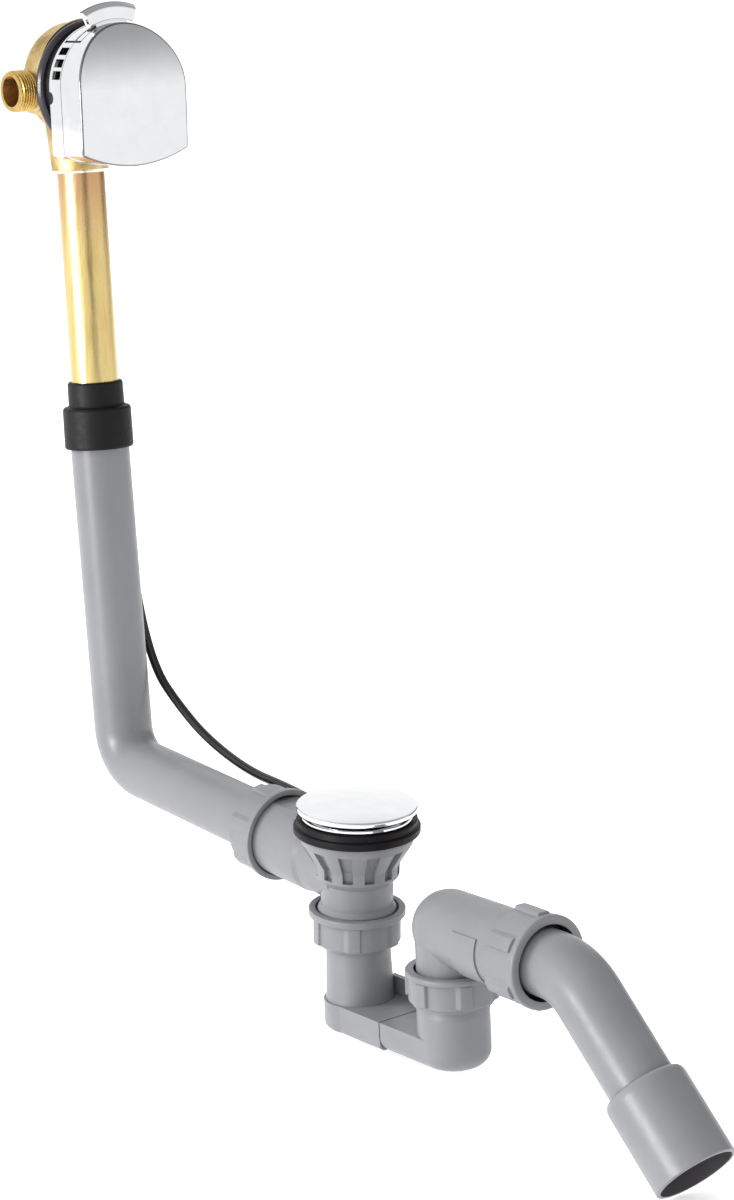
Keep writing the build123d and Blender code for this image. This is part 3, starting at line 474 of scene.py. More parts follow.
def tube_brass(name, top_z):
    """Drawn tube: lengthwise streaks, and copper heat tint under the braze."""
    m = Mat(name)
    rot = (0, rad(PIPE_LEAN), 0)
    streak = m.noise(1.0, 4, 0.6, m.coords((330, 330, 5), rot))
    broad = m.noise(1.0, 2, 0.5, m.coords((70, 70, 3), rot, (3.1, 0, 0)))
    base = m.ramp(streak, [(0.25, srgb(190, 165, 108)), (0.5, srgb(202, 180, 122)), (0.78, srgb(212, 192, 136))])
    base = m.mix(m.range(broad, 0.0, 0.25, 0.35, 0.7), base, srgb(190, 164, 106))
    z = m.axis(m.tc.outputs["Object"], 2)
    wob = m.math("ADD", z, m.range(m.noise(60, 2), -0.004, 0.004, 0.3, 0.7))
    tint = m.range(wob, 0.0, 0.80, top_z - 0.050, top_z - 0.004)
    base = m.mix(tint, base, srgb(184, 140, 106))
    m.color(base)
    m.rough(m.range(streak, 0.20, 0.34, 0.3, 0.7))
    m.normal(m.bump(streak, 0.04, 0.0001))
    m.set(Metallic=1.0)
    return m.m


CAST = cast_brass("cast_brass")
TURNED = turned_brass("turned_brass")
BORE = turned_brass("bore_brass", True)
# end sleeve plastic with painted shade, srgb(84, 80, 84), inside its bore
SLEEVE_PAINTED_BORE_SHADE = plastic_with_painted_bore_shade("grey_plastic_sleeve_painted_bore_shade", srgb(117, 118, 121), srgb(123, 124, 127), srgb(84, 80, 84),
                        LAST.translation * MM, LAST.to_3x3() @ Vector((0, 0, 1)), 0.0227)
TUBE_TOP = (NECK @ Vector((0, 0, -54))).z * MM
TUBE_MAT = tube_brass("brass_tube", TUBE_TOP)
BRAZE = steel("braze_metal", (0.80, 0.74, 0.62), 0.2, 0.35)

BY_NODE = {
    "overflow_body": CAST, "overflow_tube": TUBE_MAT, "braze_fillet": BRAZE, "wall_gasket": GASKET, "clamp_flange": BLACK_PLASTIC,
    "clamp_screws": STEEL, "overflow_rosette": CHROME, "overflow_cover": CHROME, "filler_insert": WHITE, "spigot_o_ring": BLACK_RUBBER,
    "cover_screw": STEEL, "lever_handle": CHROME, "cable_drum": BLACK_PLASTIC, "overflow_pipe": GREY_PIPE, "reducer_sleeve": BLACK_RUBBER,
    "branch_nut": GREY_NUT, "waste_body": GREY, "branch_cone_seal": BLACK_RUBBER, "rocker_shaft": STEEL, "rocker_crank": WHITE,
    "rocker_seal": BLACK_RUBBER, "rocker_housing_cover": GREY, "housing_screws": STEEL, "waste_seal": SEAL, "waste_flange": CHROME,
    "flange_gasket": BLACK_RUBBER, "flange_screws": STEEL, "plug_cap": CHROME_CAP, "plug_seal": BLACK_RUBBER, "plug_stem": TURNED,
    "stem_locknut": TURNED, "inlet_nut": GREY_NUT, "trap_inlet_half": GREY, "trap_outlet_half": GREY, "trap_joint_seal": BLACK_RUBBER,
    "inlet_cone_seal": BLACK_RUBBER, "outlet_elbow": GREY, "outlet_nut": GREY_NUT, "outlet_cone_seal": BLACK_RUBBER, "bend_nut": GREY_NUT,
    "bend_pipe": GREY_PIPE, "bend_cone_seal": BLACK_RUBBER, "end_sleeve": SLEEVE_PAINTED_BORE_SHADE, "cable_sheath": CABLE, "cable_wire": WIRE,
}
for name, ob in NODES.items():
    ob.data.materials.clear()
    ob.data.materials.append(BY_NODE[name])
    smooth(ob, 28.0)


# ------------------------------------------------------------------ detailed pieces
def stand_for(ob, node):
    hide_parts(node)
    return ob


def mark_sharp(ob, test):
    """Keeps the shading edge wherever both ends of an edge pass the test (world mm)."""
    me = ob.data
    for e in me.edges:
        if all(test(me.vertices[i].co / MM) for i in e.vertices):
            e.use_edge_sharp = True


# --- overflow cover: D outline, rolled front edge, face that breaks at the axis of the head
HALF, STRAIGHT, SAG_Y, CZ0, CZ1 = 40.4, 41.0, 8.6, 46.0, 68.5
SLOT0, SLOT1 = 7.8, 134.2


def face_z(y, off=0.0):
    if y <= -20:
        return CZ1 - off - 0.3 - 1.1 * (-20 - y) / 40.0
    if y <= 0:
        return CZ1 - off - 0.3 * (-y) / 20.0
    return CZ1 - off - (0.06 * y + (9.5 - 0.06 * HALF) * (y / HALF) ** 2)


def face_slope(y):
    return (face_z(y + 0.01) - face_z(y - 0.01)) / 0.02 if abs(y) > 0.02 else 0.0


def d_rows(half, straight, sag, corner, e):
    """Right-hand half of the outline, top to bottom: (x, y, nx, ny), moved in by e."""
    rows = []
    angles = sorted(set([90.0 - 90.0 * k / 36 for k in range(36)] + [SLOT0 + 0.02, SLOT0 - 0.02, 180 - SLOT1 + 0.02, 180 - SLOT1 - 0.02]), reverse=True)
    for a in angles:
        if a == 90.0:
            continue
        rows.append((half * cos(a), half * sin(a), cos(a), sin(a)))
    bot = -straight
    for k in range(13):
        rows.append((half, (bot + corner) * k / 12.0, 1.0, 0.0))
    R = (half * half + sag * sag) / (2 * sag)
    cy = bot - sag + R
    # corner between the side and the bottom arc
    a_end = math.degrees(math.atan2(bot - cy, half))
    for k in range(1, 6):
        a = a_end * k / 5.0
        rows.append((half - corner + corner * cos(a), bot + corner + corner * sin(a), cos(a), sin(a)))
    x1 = rows[-1][0]
    y1 = rows[-1][1]
    shift = y1 - (cy - math.sqrt(R * R - x1 * x1))
    xs = [x1 * (1 - k / 20.0) for k in range(1, 20)] + [26.02, 25.98]
    for x in sorted(xs, reverse=True):
        if x > x1 - 0.4:
            continue
        y = cy - math.sqrt(R * R - x * x) + shift * (x / x1)
        n = Vector((x, y - cy)).normalized()
        rows.append((x, y, n.x, n.y))
    return [(x - nx * e, y - ny * e, nx, ny) for x, y, nx, ny in rows], (0.0, half - e), (0.0, cy - R + e)


def cover_mesh():
    edge = 1.1
    right, top_o, bot_o = d_rows(HALF, STRAIGHT, SAG_Y, 1.8, 0.0)
    r_in, top_f, bot_f = d_rows(HALF, STRAIGHT, SAG_Y, 1.8, edge)
    r_wall, top_w, bot_w = d_rows(HALF - 2.3, STRAIGHT - 1.6, SAG_Y, 0.6, 0.0)

    def loop(rows, top, bot, ny_top=1.0):
        pts = [(top[0], top[1], 0.0, 1.0)] + list(rows) + [(bot[0], bot[1], 0.0, -1.0)]
        left = [(-x, y, -nx, ny) for x, y, nx, ny in reversed(rows)]
        return pts + left

    lo_, li_, lw_ = loop(right, top_o, bot_o), loop(r_in, top_f, bot_f), loop(r_wall, top_w, bot_w)
    n = len(lo_)
    half_n = len(right)
    verts, faces, kinds = [], [], []

    def rear(x, y):
        a = math.degrees(math.atan2(y, x)) % 360
        if y > -30 and SLOT0 < a < SLOT1:
            return 52.6
        if y < -STRAIGHT - 1.0 and abs(x) < 26.0:
            return 60.5
        return CZ0

    rings = []

    def ring_of(fn):
        base = len(verts)
        for i in range(n):
            verts.append(fn(i))
        rings.append(base)
        return base

    def joinrings(a, b, kind):
        for i in range(n):
            j = (i + 1) % n
            faces.append((a + i, a + j, b + j, b + i))
            kinds.append(kind)

    # fillet from the face edge to the side wall; its faces get the dark chrome, a painted dark reflection along the
    # rolled edge
    steps = 6
    wall_top = []
    prev = None
    face_ring = None
    for k in range(steps + 1):
        def pt(i, k=k):
            x, y, nx, ny = li_[i]
            t0 = math.atan(-face_slope(y) * ny)
            t0 = max(-0.1, min(0.6, t0))
            t = t0 + (math.pi / 2 - t0) * k / steps
            kk = edge / (1 - math.sin(t0))
            d = kk * (math.sin(t) - math.sin(t0))
            return (x + nx * d, y + ny * d, face_z(y) - kk * (math.cos(t0) - math.cos(t)))
        b = ring_of(pt)
        if prev is not None:
            joinrings(prev, b, 1)
        else:
            face_ring = b
        prev = b
    wall_b = prev
    r1 = ring_of(lambda i: (lo_[i][0], lo_[i][1], rear(lo_[i][0], lo_[i][1]) + 0.35))
    joinrings(wall_b, r1, 0)
    r2 = ring_of(lambda i: (lo_[i][0] - 0.3 * lo_[i][2], lo_[i][1] - 0.3 * lo_[i][3], rear(lo_[i][0], lo_[i][1])))
    joinrings(r1, r2, 0)
    r3 = ring_of(lambda i: (lw_[i][0], lw_[i][1], rear(lo_[i][0], lo_[i][1])))
    joinrings(r2, r3, 0)
    r4 = ring_of(lambda i: (lw_[i][0], lw_[i][1], face_z(lw_[i][1], 2.3)))
    joinrings(r3, r4, 0)
    # outer face: straight rows between matching points of both sides, plus a narrow row end
    def rows_face(base, src, z_off, flip):
        def at(i):
            return base + i
        inner_r, inner_l = {}, {}
        for i in range(1, half_n + 1):
            x, y = src[i][0], src[i][1]
            xi = max(x - 0.5, x * 0.7)
            inner_r[i] = len(verts)
            verts.append((xi, y, face_z(y, z_off)))
            inner_l[i] = len(verts)
            verts.append((-xi, y, face_z(y, z_off)))
        def add(f):
            faces.append(f[::-1] if flip else f)
            kinds.append(0)
        left = lambda i: n - i
        add((at(0), at(1), inner_r[1], inner_l[1], at(left(1))))
        for i in range(1, half_n):
            add((at(i), at(i + 1), inner_r[i + 1], inner_r[i]))
            add((inner_r[i], inner_r[i + 1], inner_l[i + 1], inner_l[i]))
            add((inner_l[i], inner_l[i + 1], at(left(i + 1)), at(left(i))))
        m = half_n
        add((at(m), at(m + 1), at(left(m)), inner_l[m], inner_r[m]))
    rows_face(face_ring, li_, 0.0, False)
    rows_face(r4, lw_, 2.3, True)
    ob = make("overflow_cover_plate", verts, faces, HEAD, "fixed", CHROME, 30.0)
    # the fillet faces (kind 1) take the painted dark reflection
    ob.data.materials.append(CHROME_EDGE_PAINTED_REFLECTION)
    if len(ob.data.polygons) == len(kinds):
        for p_, k in zip(ob.data.polygons, kinds):
            p_.material_index = k
    inv = HEAD.inverted()

    def crease(v):
        q = inv @ v
        return abs(q.y) < 0.02 and q.z > CZ1 - 0.6
    mark_sharp(ob, crease)
    return ob


# dark chrome for the rolled front edge of the cover: a painted dark reflection
CHROME_EDGE_PAINTED_REFLECTION = chrome("chrome_edge_painted_reflection", (0.20, 0.20, 0.22), 0.10, 0.2, 0.002)
cover = stand_for(cover_mesh(), "overflow_cover")


def arc_block(name, r0, r1, z0, z1, a0, a1, b, M, body, mat, n=40, seg=3, shape=None):
    """Block bent round local Z, with rounded edges and ends."""
    prof = shape or [(r0, z0, b), (r1, z0, b), (r1, z1, b), (r0, z1, b)]
    sec = round_profile(prof, 0, seg)
    cx, cz = sum(p[0] for p in sec) / len(sec), sum(p[1] for p in sec) / len(sec)
    rm = (r0 + r1) / 2
    w, h = (r1 - r0) / 2, (z1 - z0) / 2
    rings = []

    def put(a, inset):
        fx, fz = (w - inset) / w, (h - inset) / h
        rings.append([((cx + (r - cx) * fx) * cos(a), (cx + (r - cx) * fx) * sin(a), cz + (z - cz) * fz) for r, z in sec])
    ends = []
    for k in range(4):
        u = k / 3.0                                   # 0 at the very end, 1 where the full section starts
        ends.append((math.degrees(b * (1 - math.sqrt(max(0.0, 1 - (1 - u) ** 2))) / rm), b * (1 - u)))
    for d, ins in ends:
        put(a0 + d, ins)
    for k in range(1, n):
        put(a0 + ends[-1][0] + (a1 - a0 - 2 * ends[-1][0]) * k / n, 0.0)
    for d, ins in reversed(ends):
        put(a1 - d, ins)
    return loft(name, rings, True, True, M, body, mat, 40.0)


# --- lever: one casting of grip, neck, sector, spoke and hub; black blocks stand in its web, groove, slit ends and neck gap as painted shade
LV0, LV1 = 71.7, 116.3
SC0, SC1 = 55.0, 133.2
grip_shape = [(42.5, 47.0, 0.6), (52.6, 47.0, 1.0), (53.4, 48.2, 0.6), (53.4, 49.2, 1.6), (50.6, 52.0, 2.2), (42.5, 52.0, 0.5)]
lever_bits = [
    arc_block("lever_grip", 42.5, 53.4, 47.0, 52.0, LV0, LV1, 0.7, HEAD, "lever", CHROME, 60, 5, grip_shape),
    arc_block("lever_neck", 33.0, 43.0, 46.95, 51.95, 78.0, 111.0, 0.4, HEAD, "lever", CHROME, 40, 3),
    arc_block("lever_sector_rear", 37.0, 40.35, 35.0, 44.9, SC0 + 0.6, SC1 - 1.6, 0.3, HEAD, "lever", CHROME, 80, 3),
    arc_block("lever_sector_front", 37.0, 40.35, 46.5, 52.0, SC0 + 0.6, SC1 - 1.6, 0.3, HEAD, "lever", CHROME, 80, 3),
    # black blocks for the web, the groove, the slit ends and the gap at the neck: painted shade in the openings
    arc_block("lever_sector_web_shadow", 35.6, 38.6, 35.05, 51.2, SC0 + 0.3, SC1 - 0.3, 0.3, HEAD, "lever", BLACK_PLASTIC, 80, 3),
    arc_block("lever_groove_shadow", 38.0, 39.75, 44.8, 46.6, SC0 + 0.8, SC1 - 0.5, 0.15, HEAD, "lever", BLACK_PLASTIC, 80, 2),
    arc_block("lever_end_shadow", 36.5, 39.9, 35.3, 51.6, SC1 - 1.6, SC1 + 0.8, 0.15, HEAD, "lever", BLACK_PLASTIC, 8, 2),
    arc_block("lever_far_end_shadow", 36.5, 39.75, 35.4, 51.4, SC0 - 0.4, SC0 + 0.6, 0.15, HEAD, "lever", BLACK_PLASTIC, 8, 2),
    arc_block("lever_neck_gap_shadow", 38.6, 41.1, 46.9, 51.8, 111.0, 117.5, 0.15, HEAD, "lever", BLACK_PLASTIC, 12, 2),
    arc_block("lever_spoke", 14.5, 37.5, 41.0, 44.4, 83.0, 105.0, 0.4, HEAD, "lever", CHROME, 24, 3),
    lathe("lever_hub", round_profile([(13.05, 32.2, 0.3), (16.6, 32.2, 0.4), (16.6, 44.4, 0.4), (13.05, 44.4, 0.3)], 0, 3), 96, HEAD, "lever", CHROME),
]
# dark chrome for the grip's outer rim: a painted dark reflection
CHROME_GRIP_PAINTED_REFLECTION = chrome("chrome_grip_painted_reflection", (0.17, 0.172, 0.185), 0.05, 0.10, 0.01)
grip_me = lever_bits[0].data                          # the grip's rounded outer rim gets the dark chrome: a painted dark reflection
grip_me.materials.append(CHROME_GRIP_PAINTED_REFLECTION)
head_inv = HEAD.inverted()
for p_ in grip_me.polygons:
    q_ = [head_inv @ (grip_me.vertices[i].co / MM) for i in p_.vertices]
    if sum(math.hypot(v_.x, v_.y) for v_ in q_) / len(q_) > 52.5:
        p_.material_index = 1
for b_ in lever_bits:
    stand_for(b_, "lever_handle")

# --- plug cap: shallow crown with a rolled rim
cap_prof = [(0, 11.5)] + [(r, 11.5 - 0.00258 * r * r) for r in (3, 6, 9, 12, 15, 18, 21, 24, 27, 29.5, 31.5, 33.2, 34.6, 35.6)]
for k in range(1, 9):
    a = 90 - 84.0 * k / 8 - 6
    cap_prof.append((35.9 + 1.4 * cos(a), 6.75 + 1.4 * sin(a)))
cap_prof += [(37.3, 6.2), (37.3, 5.6), (37.1, 5.1), (36.7, 4.8), (36.2, 4.7), (35.2, 4.7), (34.6, 5.3), (24.0, 6.0), (7.0, 6.2), (7.0, 3.4), (2.55, 3.4), (2.55, 8.2), (0, 8.2)]
stand_for(lathe("plug_cap_crown", cap_prof, 192, I4, "plug", CHROME_CAP, 32.0), "plug_cap")

# --- seal under the tub, and the gasket behind the wall
seal_prof = round_profile([(30.6, -9.2), (38.4, -9.2, 0.5), (38.9, -8.6, 0.3), (38.9, -5.0, 0.5), (38.3, -4.3, 0.4), (37.1, -4.1, 0.3), (37.0, -0.6, 0.3), (36.4, 0.0, 0.3), (30.6, 0.0)], 0, 4)
stand_for(lathe("waste_seal_ring", seal_prof, 160, I4, "fixed", SEAL, 40.0), "waste_seal")
gask = round_profile([(27, 17.55), (39.2, 17.55, 0.5), (41.2, 18.6, 1.0), (42.1, 20.4, 0.9), (42.1, 22.0, 0.6), (41.0, 23.8, 0.8), (39.6, 24.6, 0.4), (27, 24.6)], 0, 5)
stand_for(lathe("wall_gasket_ring", gask, 160, HEAD, "fixed", GASKET, 40.0), "wall_gasket")

# --- union nuts: six ramped grip pads, open mouth ring
PADW = 22.0


def pad_shape(theta, step_at, turn):
    """0..1 height of the pad at an angle."""
    d = (turn * (theta - step_at)) % 60.0
    d = d - 60.0 if d > 60.0 - PADW else d
    if d < -PADW or d > 0:
        return 0.0
    if d < -PADW + 6.0:
        return (d + PADW) / 6.0
    if d > -1.2:
        return max(0.0, -d / 1.2)
    return 1.0


def nut_piece(name, node, prof, base_r, pad_r, z0, z1, step_at, turn, M, inner):
    def fn(th, r, z):
        if abs(r - base_r) < 1e-6 and z0 + 0.04 < z < z1 - 0.04:
            return r + (pad_r - base_r) * pad_shape(th, step_at, turn)
        return r
    # faces inside the nut get the dark grey: painted shade in the thread and the mouth
    ob = lathe(name, prof, 360, M, "fixed", GREY_NUT, 24.0, fn, dark=(inner, NUT_PAINTED_SHADE))
    return stand_for(ob, node)


def open_nut(ring_r, pad_r, base_r, mouth_r, thread_r, exit_r, length, ring_t=4.6, depth=20.0):
    top = length - 4.3
    arc_ = round_profile([(mouth_r, 0.0, 0.25), (ring_r, 0.0, 0.6), (ring_r, ring_t, 0.9), (base_r + 0.4, ring_t, 0.0)], 0, 4)
    p = arc_[:-1] + [(base_r, ring_t + 0.05), (base_r, ring_t + 0.12), (base_r, top - 0.12), (base_r, top + 0.02)]
    p += [(base_r - 0.35, top + 0.5), (base_r - 4.3, length - 0.55), (base_r - 4.6, length - 0.4)]
    p += [(exit_r, length - 0.4), (exit_r, depth + 0.8), (exit_r + 0.8, depth), (thread_r, depth)]
    z = depth - 1.0
    while z > 2.6:                                    # grooves of the inside thread
        p += [(thread_r, z), (thread_r + 0.35, z - 0.9), (thread_r + 0.35, z - 1.2), (thread_r, z - 2.0)]
        z -= 2.6
    p += [(thread_r, 1.4), (mouth_r, 0.5)]
    return p, top


def closed_nut(ring_r, pad_r, base_r, gap_r, thread_r, length, ring_t, depth):
    top = length - 1.6
    arc_ = round_profile([(gap_r, 0.0, 0.3), (ring_r, 0.0, 1.4), (ring_r, ring_t + 0.2, 0.5), (base_r + 0.4, ring_t + 0.6, 0.0)], 0, 4)
    p = arc_[:-1] + [(base_r, ring_t + 0.65), (base_r, ring_t + 0.72), (base_r, top - 0.12), (base_r, top + 0.02), (base_r, length - 0.5), (base_r - 0.5, length)]
    p += [(thread_r + 0.6, length), (thread_r, length - 0.8), (thread_r, length - depth), (gap_r, length - depth - 2)]
    return p, top


# dark grey for the faces inside the nuts: painted shade, the same plastic as outside
NUT_PAINTED_SHADE = plastic("nut_inside_painted_shade", srgb(30, 30, 32), srgb(40, 40, 42), 0.5, 0.7, 0.05)
N1 = plane(Vector((0, 0, BRANCH_Z)) + BR_DIR * 72.8, (0, 1, 0), BR_DIR)
pf, tz = open_nut(29.6, 28.4, 26.9, 26.3, 25.5, 20.6, 27.0)
nut_piece("branch_union_nut", "branch_nut", pf, 26.9, 28.4, 4.6, tz, -170.0, -1, N1, lambda r, z: r < 25.95 and 0.45 < z < 20.5)
N2 = Matrix.Translation((0, 0, -58.2)) @ Matrix.Rotation(math.pi, 4, "X")
pf, tz = open_nut(29.8, 28.3, 26.9, 25.6, 24.4, 21.9, 24.4, 4.6, 18.6)
nut_piece("inlet_union_nut", "inlet_nut", pf, 26.9, 28.3, 4.6, tz, 33.7, -1, N2, lambda r, z: r < 25.05 and 0.45 < z < 19.2)
N3 = TRAP @ Matrix.Translation((OX, 0, -74.8)) @ Matrix.Rotation(math.pi, 4, "X")
pf, tz = closed_nut(28.0, 28.2, 26.4, 22.3, 24.4, 19.2, 3.4, 13.2)
nut_piece("outlet_union_nut", "outlet_nut", pf, 26.4, 28.2, 3.4, tz, 14.1, -1, N3, lambda r, z: r < 22.9 and z > 0.4)
N4 = ELBOW @ Matrix.Translation((0, 0, N4_AT)) @ Matrix.Rotation(math.pi, 4, "X")
pf, tz = closed_nut(28.0, 29.4, 27.2, 22.15, 25.3, 26.2, 4.2, 18.2)
nut_piece("bend_union_nut", "bend_nut", pf, 27.2, 29.4, 4.2, tz, -157.0, -1, N4, lambda r, z: r < 22.9 and z > 0.4)

# --- dark edge of the joint seal, seen in the seam of the trap
ZTT, ZBB, BHH, SEAM = -116.0, -135.6, 22.0, 45.5


def seam_loop(d, x):
    """Outline of the box section, moved in by d, at x."""
    h, top_, bot_, r_ = BHH - d, ZTT - d, ZBB + d, 10.4 - d
    pts = [(h, top_), (h, bot_ + r_)]
    for k_ in range(1, 8):
        a_ = -90.0 * k_ / 8
        pts.append((h - r_ + r_ * cos(a_), bot_ + r_ + r_ * sin(a_)))
    pts.append((h - r_, bot_))
    pts += [(-y_, z_) for y_, z_ in reversed(pts)]
    return [(x, y_, z_) for y_, z_ in pts]


strip = loft("trap_seam_strip", [seam_loop(-0.07, SEAM - 0.05), seam_loop(-0.07, SEAM + 0.65), seam_loop(1.9, SEAM + 0.65), seam_loop(1.9, SEAM - 0.05)],
             True, False, TRAP, "fixed", BLACK_RUBBER, 40.0, True)

# --- cable: one length, from the gland under the head to the gland of the rocker housing
CABLE_Z = -0.0203
gland = (HEAD @ Vector((18.0, -38.0, -13.0))) * MM
second = Vector((-0.3074, 0.0217, 0.3368))
inside = gland - (second - gland).normalized() * 0.0019
CABLE_AT = [inside, second, (-0.2983, 0.0213, 0.2620), (-0.2908, 0.0228, 0.1900), (-0.2788, 0.0248, 0.1180), (-0.2685, 0.0252, 0.0660),
            (-0.2512, 0.0258, 0.0285), (-0.2276, 0.0264, 0.0116), (-0.1967, 0.0275, -0.0052), (-0.1519, 0.0290, -0.0169),
            (-0.1083, 0.0298, -0.0172), (-0.0720, 0.0300, CABLE_Z), (-0.0400, 0.0300, CABLE_Z)]
cd_ = bpy.data.curves.new("cable_outer", "CURVE")
cd_.dimensions = "3D"
cs_ = cd_.splines.new("NURBS")
cs_.points.add(len(CABLE_AT) - 1)
for pt_, co_ in zip(cs_.points, CABLE_AT):
    pt_.co = (co_[0], co_[1], co_[2], 1.0)
cs_.use_endpoint_u = True
cs_.order_u = 3
cs_.resolution_u = 14
cd_.bevel_depth = 0.003
cd_.bevel_resolution = 7
cd_.use_fill_caps = True
cable = bpy.data.objects.new("cable_outer", cd_)
bpy.context.scene.collection.objects.link(cable)
cd_.materials.append(CABLE)
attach(cable, "fixed")
stand_for(cable, "cable_sheath")

# --- overflow body: its mesh with a thread cut on the inlet nose and a turned bore
body_me = NODES["overflow_body"].data.copy()
body_ob = bpy.data.objects.new("overflow_body_cast", body_me)
bpy.context.scene.collection.objects.link(body_ob)
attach(body_ob, "fixed")
inv_inlet = INLET.inverted()
for v in body_me.vertices:
    q = inv_inlet @ (v.co / MM)
    r = math.hypot(q.x, q.y)
    if 12.7 < r < 13.5 and 35.5 < q.z < 48.2:
        k = 11.95 / r
        v.co = (INLET @ Vector((q.x * k, q.y * k, q.z))) * MM
body_me.materials.clear()
body_me.materials.append(CAST)
body_me.materials.append(BORE)
body_me.materials.append(TURNED)
for p_ in body_me.polygons:
    qs = [inv_inlet @ (body_me.vertices[i].co / MM) for i in p_.vertices]
    rs = [math.hypot(q.x, q.y) for q in qs]
    p_.material_index = 0
    if all(q.z > 4 for q in qs) and max(rs) < 10.0:
        p_.material_index = 1
    elif all(q.z > 35.0 for q in qs) and max(rs) < 13.5:
        p_.material_index = 2
smooth(body_ob, 32.0)
stand_for(body_ob, "overflow_body")

PITCH, CREST, ROOT = 1.81, 13.2, 12.15


def thread_r(theta, r, z):
    if r < 12.0:
        return r
    u = ((z - PITCH * theta / 360.0) / PITCH) % 1.0
    tri = 1 - abs(2 * u - 1)
    h = min(1.0, max(0.0, tri * 1.3 - 0.12))
    fade = min(1.0, max(0.0, (z - 35.7) / 1.2)) * min(1.0, max(0.0, (48.4 - z) / 1.1))
    return ROOT + (CREST - ROOT) * h * fade


zs = [35.5 + 0.15 * k for k in range(int((48.45 - 35.5) / 0.15) + 1)]
th_prof = [(11.2, zs[0])] + [(12.5, z) for z in zs] + [(11.2, zs[-1])]
stand_for(lathe("inlet_thread", th_prof, 160, INLET, "fixed", TURNED, 60.0, thread_r), "overflow_body")


# ------------------------------------------------------------------ camera, light and stage
def look(loc, right, up, back):
    m = Matrix((right, up, back)).transposed().to_4x4()
    m.translation = Vector(loc)
    return m


cam_data = bpy.data.cameras.new("camera")
cam = bpy.data.objects.new("camera", cam_data)
bpy.context.scene.collection.objects.link(cam)
CAM_AZ, CAM_EL = 51.48, 15.08
back = Vector((sin(CAM_AZ) * cos(CAM_EL), -cos(CAM_AZ) * cos(CAM_EL), sin(CAM_EL)))
right = Vector((cos(CAM_AZ), sin(CAM_AZ), 0))
up = back.cross(right)
cam.matrix_world = look((1.3596, -1.0745, 0.6126), right, up, back)
cam_data.sensor_fit = "AUTO"
cam_data.sensor_width = 36.0
cam_data.lens = 3011.42 * 36.0 / 1200.0
cam_data.shift_x = 0.0
cam_data.shift_y = -0.01245
cam_data.clip_start = 0.05
cam_data.clip_end = 60.0
bpy.context.scene.camera = cam


def area(name, loc, target, size, power, color=(1, 1, 1), size_y=None, spread=180):
    d = bpy.data.lights.new(name, "AREA")
    d.shape = "RECTANGLE"
    d.size = size
    d.size_y = size_y or size
    d.energy = power
    d.color = color
    d.spread = rad(spread)
    o = bpy.data.objects.new(name, d)
    bpy.context.scene.collection.objects.link(o)
    o.location = loc
    o.rotation_euler = (Vector(target) - Vector(loc)).to_track_quat("-Z", "Y").to_euler()
    return o


def sun(name, az, el, energy, angle):
    d = bpy.data.lights.new(name, "SUN")
    d.energy = energy
    d.angle = rad(angle)
    o = bpy.data.objects.new(name, d)
    bpy.context.scene.collection.objects.link(o)
    o.rotation_euler = Vector((cos(az) * cos(el), sin(az) * cos(el), sin(el))).to_track_quat("Z", "Y").to_euler()
    o.visible_glossy = False
    return o


sun("key", -127, 20, 2.6, 26)
sun("top", -80, 74, 0.7, 80)
streak_light = sun("streak", -92, 4, 3.6, 24)       # gives the satin plastic its soft streak, no diffuse light
streak_light.visible_glossy = True
streak_light.visible_diffuse = False

bpy.context.scene.view_settings.view_transform = "Standard"

world = bpy.data.worlds.new("studio")
bpy.context.scene.world = world
world.use_nodes = True
wn = world.node_tree
wn.nodes.clear()
w_out = wn.nodes.new("ShaderNodeOutputWorld")
w_bg = wn.nodes.new("ShaderNodeBackground")
wn.links.new(w_bg.outputs[0], w_out.inputs[0])
w_tc = wn.nodes.new("ShaderNodeTexCoord")


def w_dot(d):
    n = wn.nodes.new("ShaderNodeVectorMath")
    n.operation = "DOT_PRODUCT"
    wn.links.new(w_tc.outputs["Generated"], n.inputs[0])
    n.inputs[1].default_value = Vector(d).normalized()
    return n.outputs["Value"]


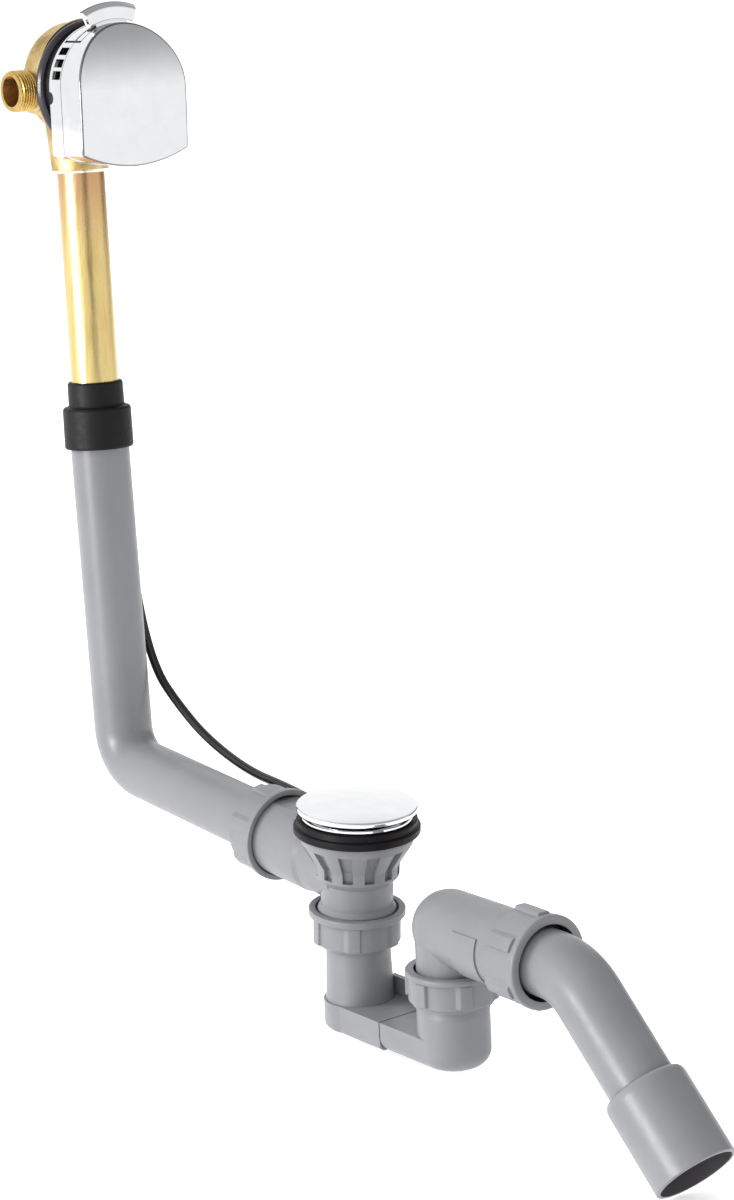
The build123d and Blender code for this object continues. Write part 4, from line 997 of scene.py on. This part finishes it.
def w_range(s, lo, hi, a, b, smooth_=True):
    n = wn.nodes.new("ShaderNodeMapRange")
    n.interpolation_type = "SMOOTHSTEP" if smooth_ else "LINEAR"
    n.inputs["From Min"].default_value = lo
    n.inputs["From Max"].default_value = hi
    n.inputs["To Min"].default_value = a
    n.inputs["To Max"].default_value = b
    wn.links.new(s, n.inputs["Value"])
    return n.outputs[0]


def w_math(op, a, b):
    n = wn.nodes.new("ShaderNodeMath")
    n.operation = op
    for v, i in ((a, 0), (b, 1)):
        if isinstance(v, (int, float)):
            n.inputs[i].default_value = v
        else:
            wn.links.new(v, n.inputs[i])
    return n.outputs[0]


def direction(az, el):
    return (cos(az) * cos(el), sin(az) * cos(el), sin(el))


# white room; grey flat high at the front right, and two darker gaps near the horizon, for the metals
flat = w_range(w_dot(direction(46, 66)), 0.44, 0.90, 0.0, 1.0)
gap = w_range(w_dot(direction(-17, 0)), 0.962, 0.985, 0.0, 1.0)
gap2 = w_range(w_dot(direction(95, 2)), 0.86, 0.95, 0.0, 1.0)
lvl = w_math("SUBTRACT", 1.0, w_math("MULTIPLY", flat, 0.62))
lvl = w_math("MULTIPLY", lvl, w_math("SUBTRACT", 1.0, w_math("MULTIPLY", gap, 0.74)))
lvl = w_math("MULTIPLY", lvl, w_math("SUBTRACT", 1.0, w_math("MULTIPLY", gap2, 0.80)))
w_col = wn.nodes.new("ShaderNodeCombineColor")
for i in range(3):
    wn.links.new(lvl, w_col.inputs[i])
wn.links.new(w_col.outputs[0], w_bg.inputs["Color"])
w_bg.inputs["Strength"].default_value = 1.22

# floor
lo, hi = CAD_BOX
fz = lo[2] - 0.0006
fme = bpy.data.meshes.new("floor")
R = 5.0
ring_pts = [(R * math.cos(2 * math.pi * k / 96), R * math.sin(2 * math.pi * k / 96), fz) for k in range(96)]
fme.from_pydata(ring_pts, [], [tuple(range(96))])
floor = bpy.data.objects.new("floor", fme)
bpy.context.scene.collection.objects.link(floor)
fm = Mat("floor_pale")
fm.color(fm.ramp(fm.noise(3.0, 3), [(0.3, (0.90, 0.90, 0.90)), (0.7, (0.92, 0.92, 0.92))]))
fm.set(Roughness=0.9, Emission_Color=(1.0, 1.0, 1.0, 1.0), Emission_Strength=0.5)
fme.materials.append(fm.m)
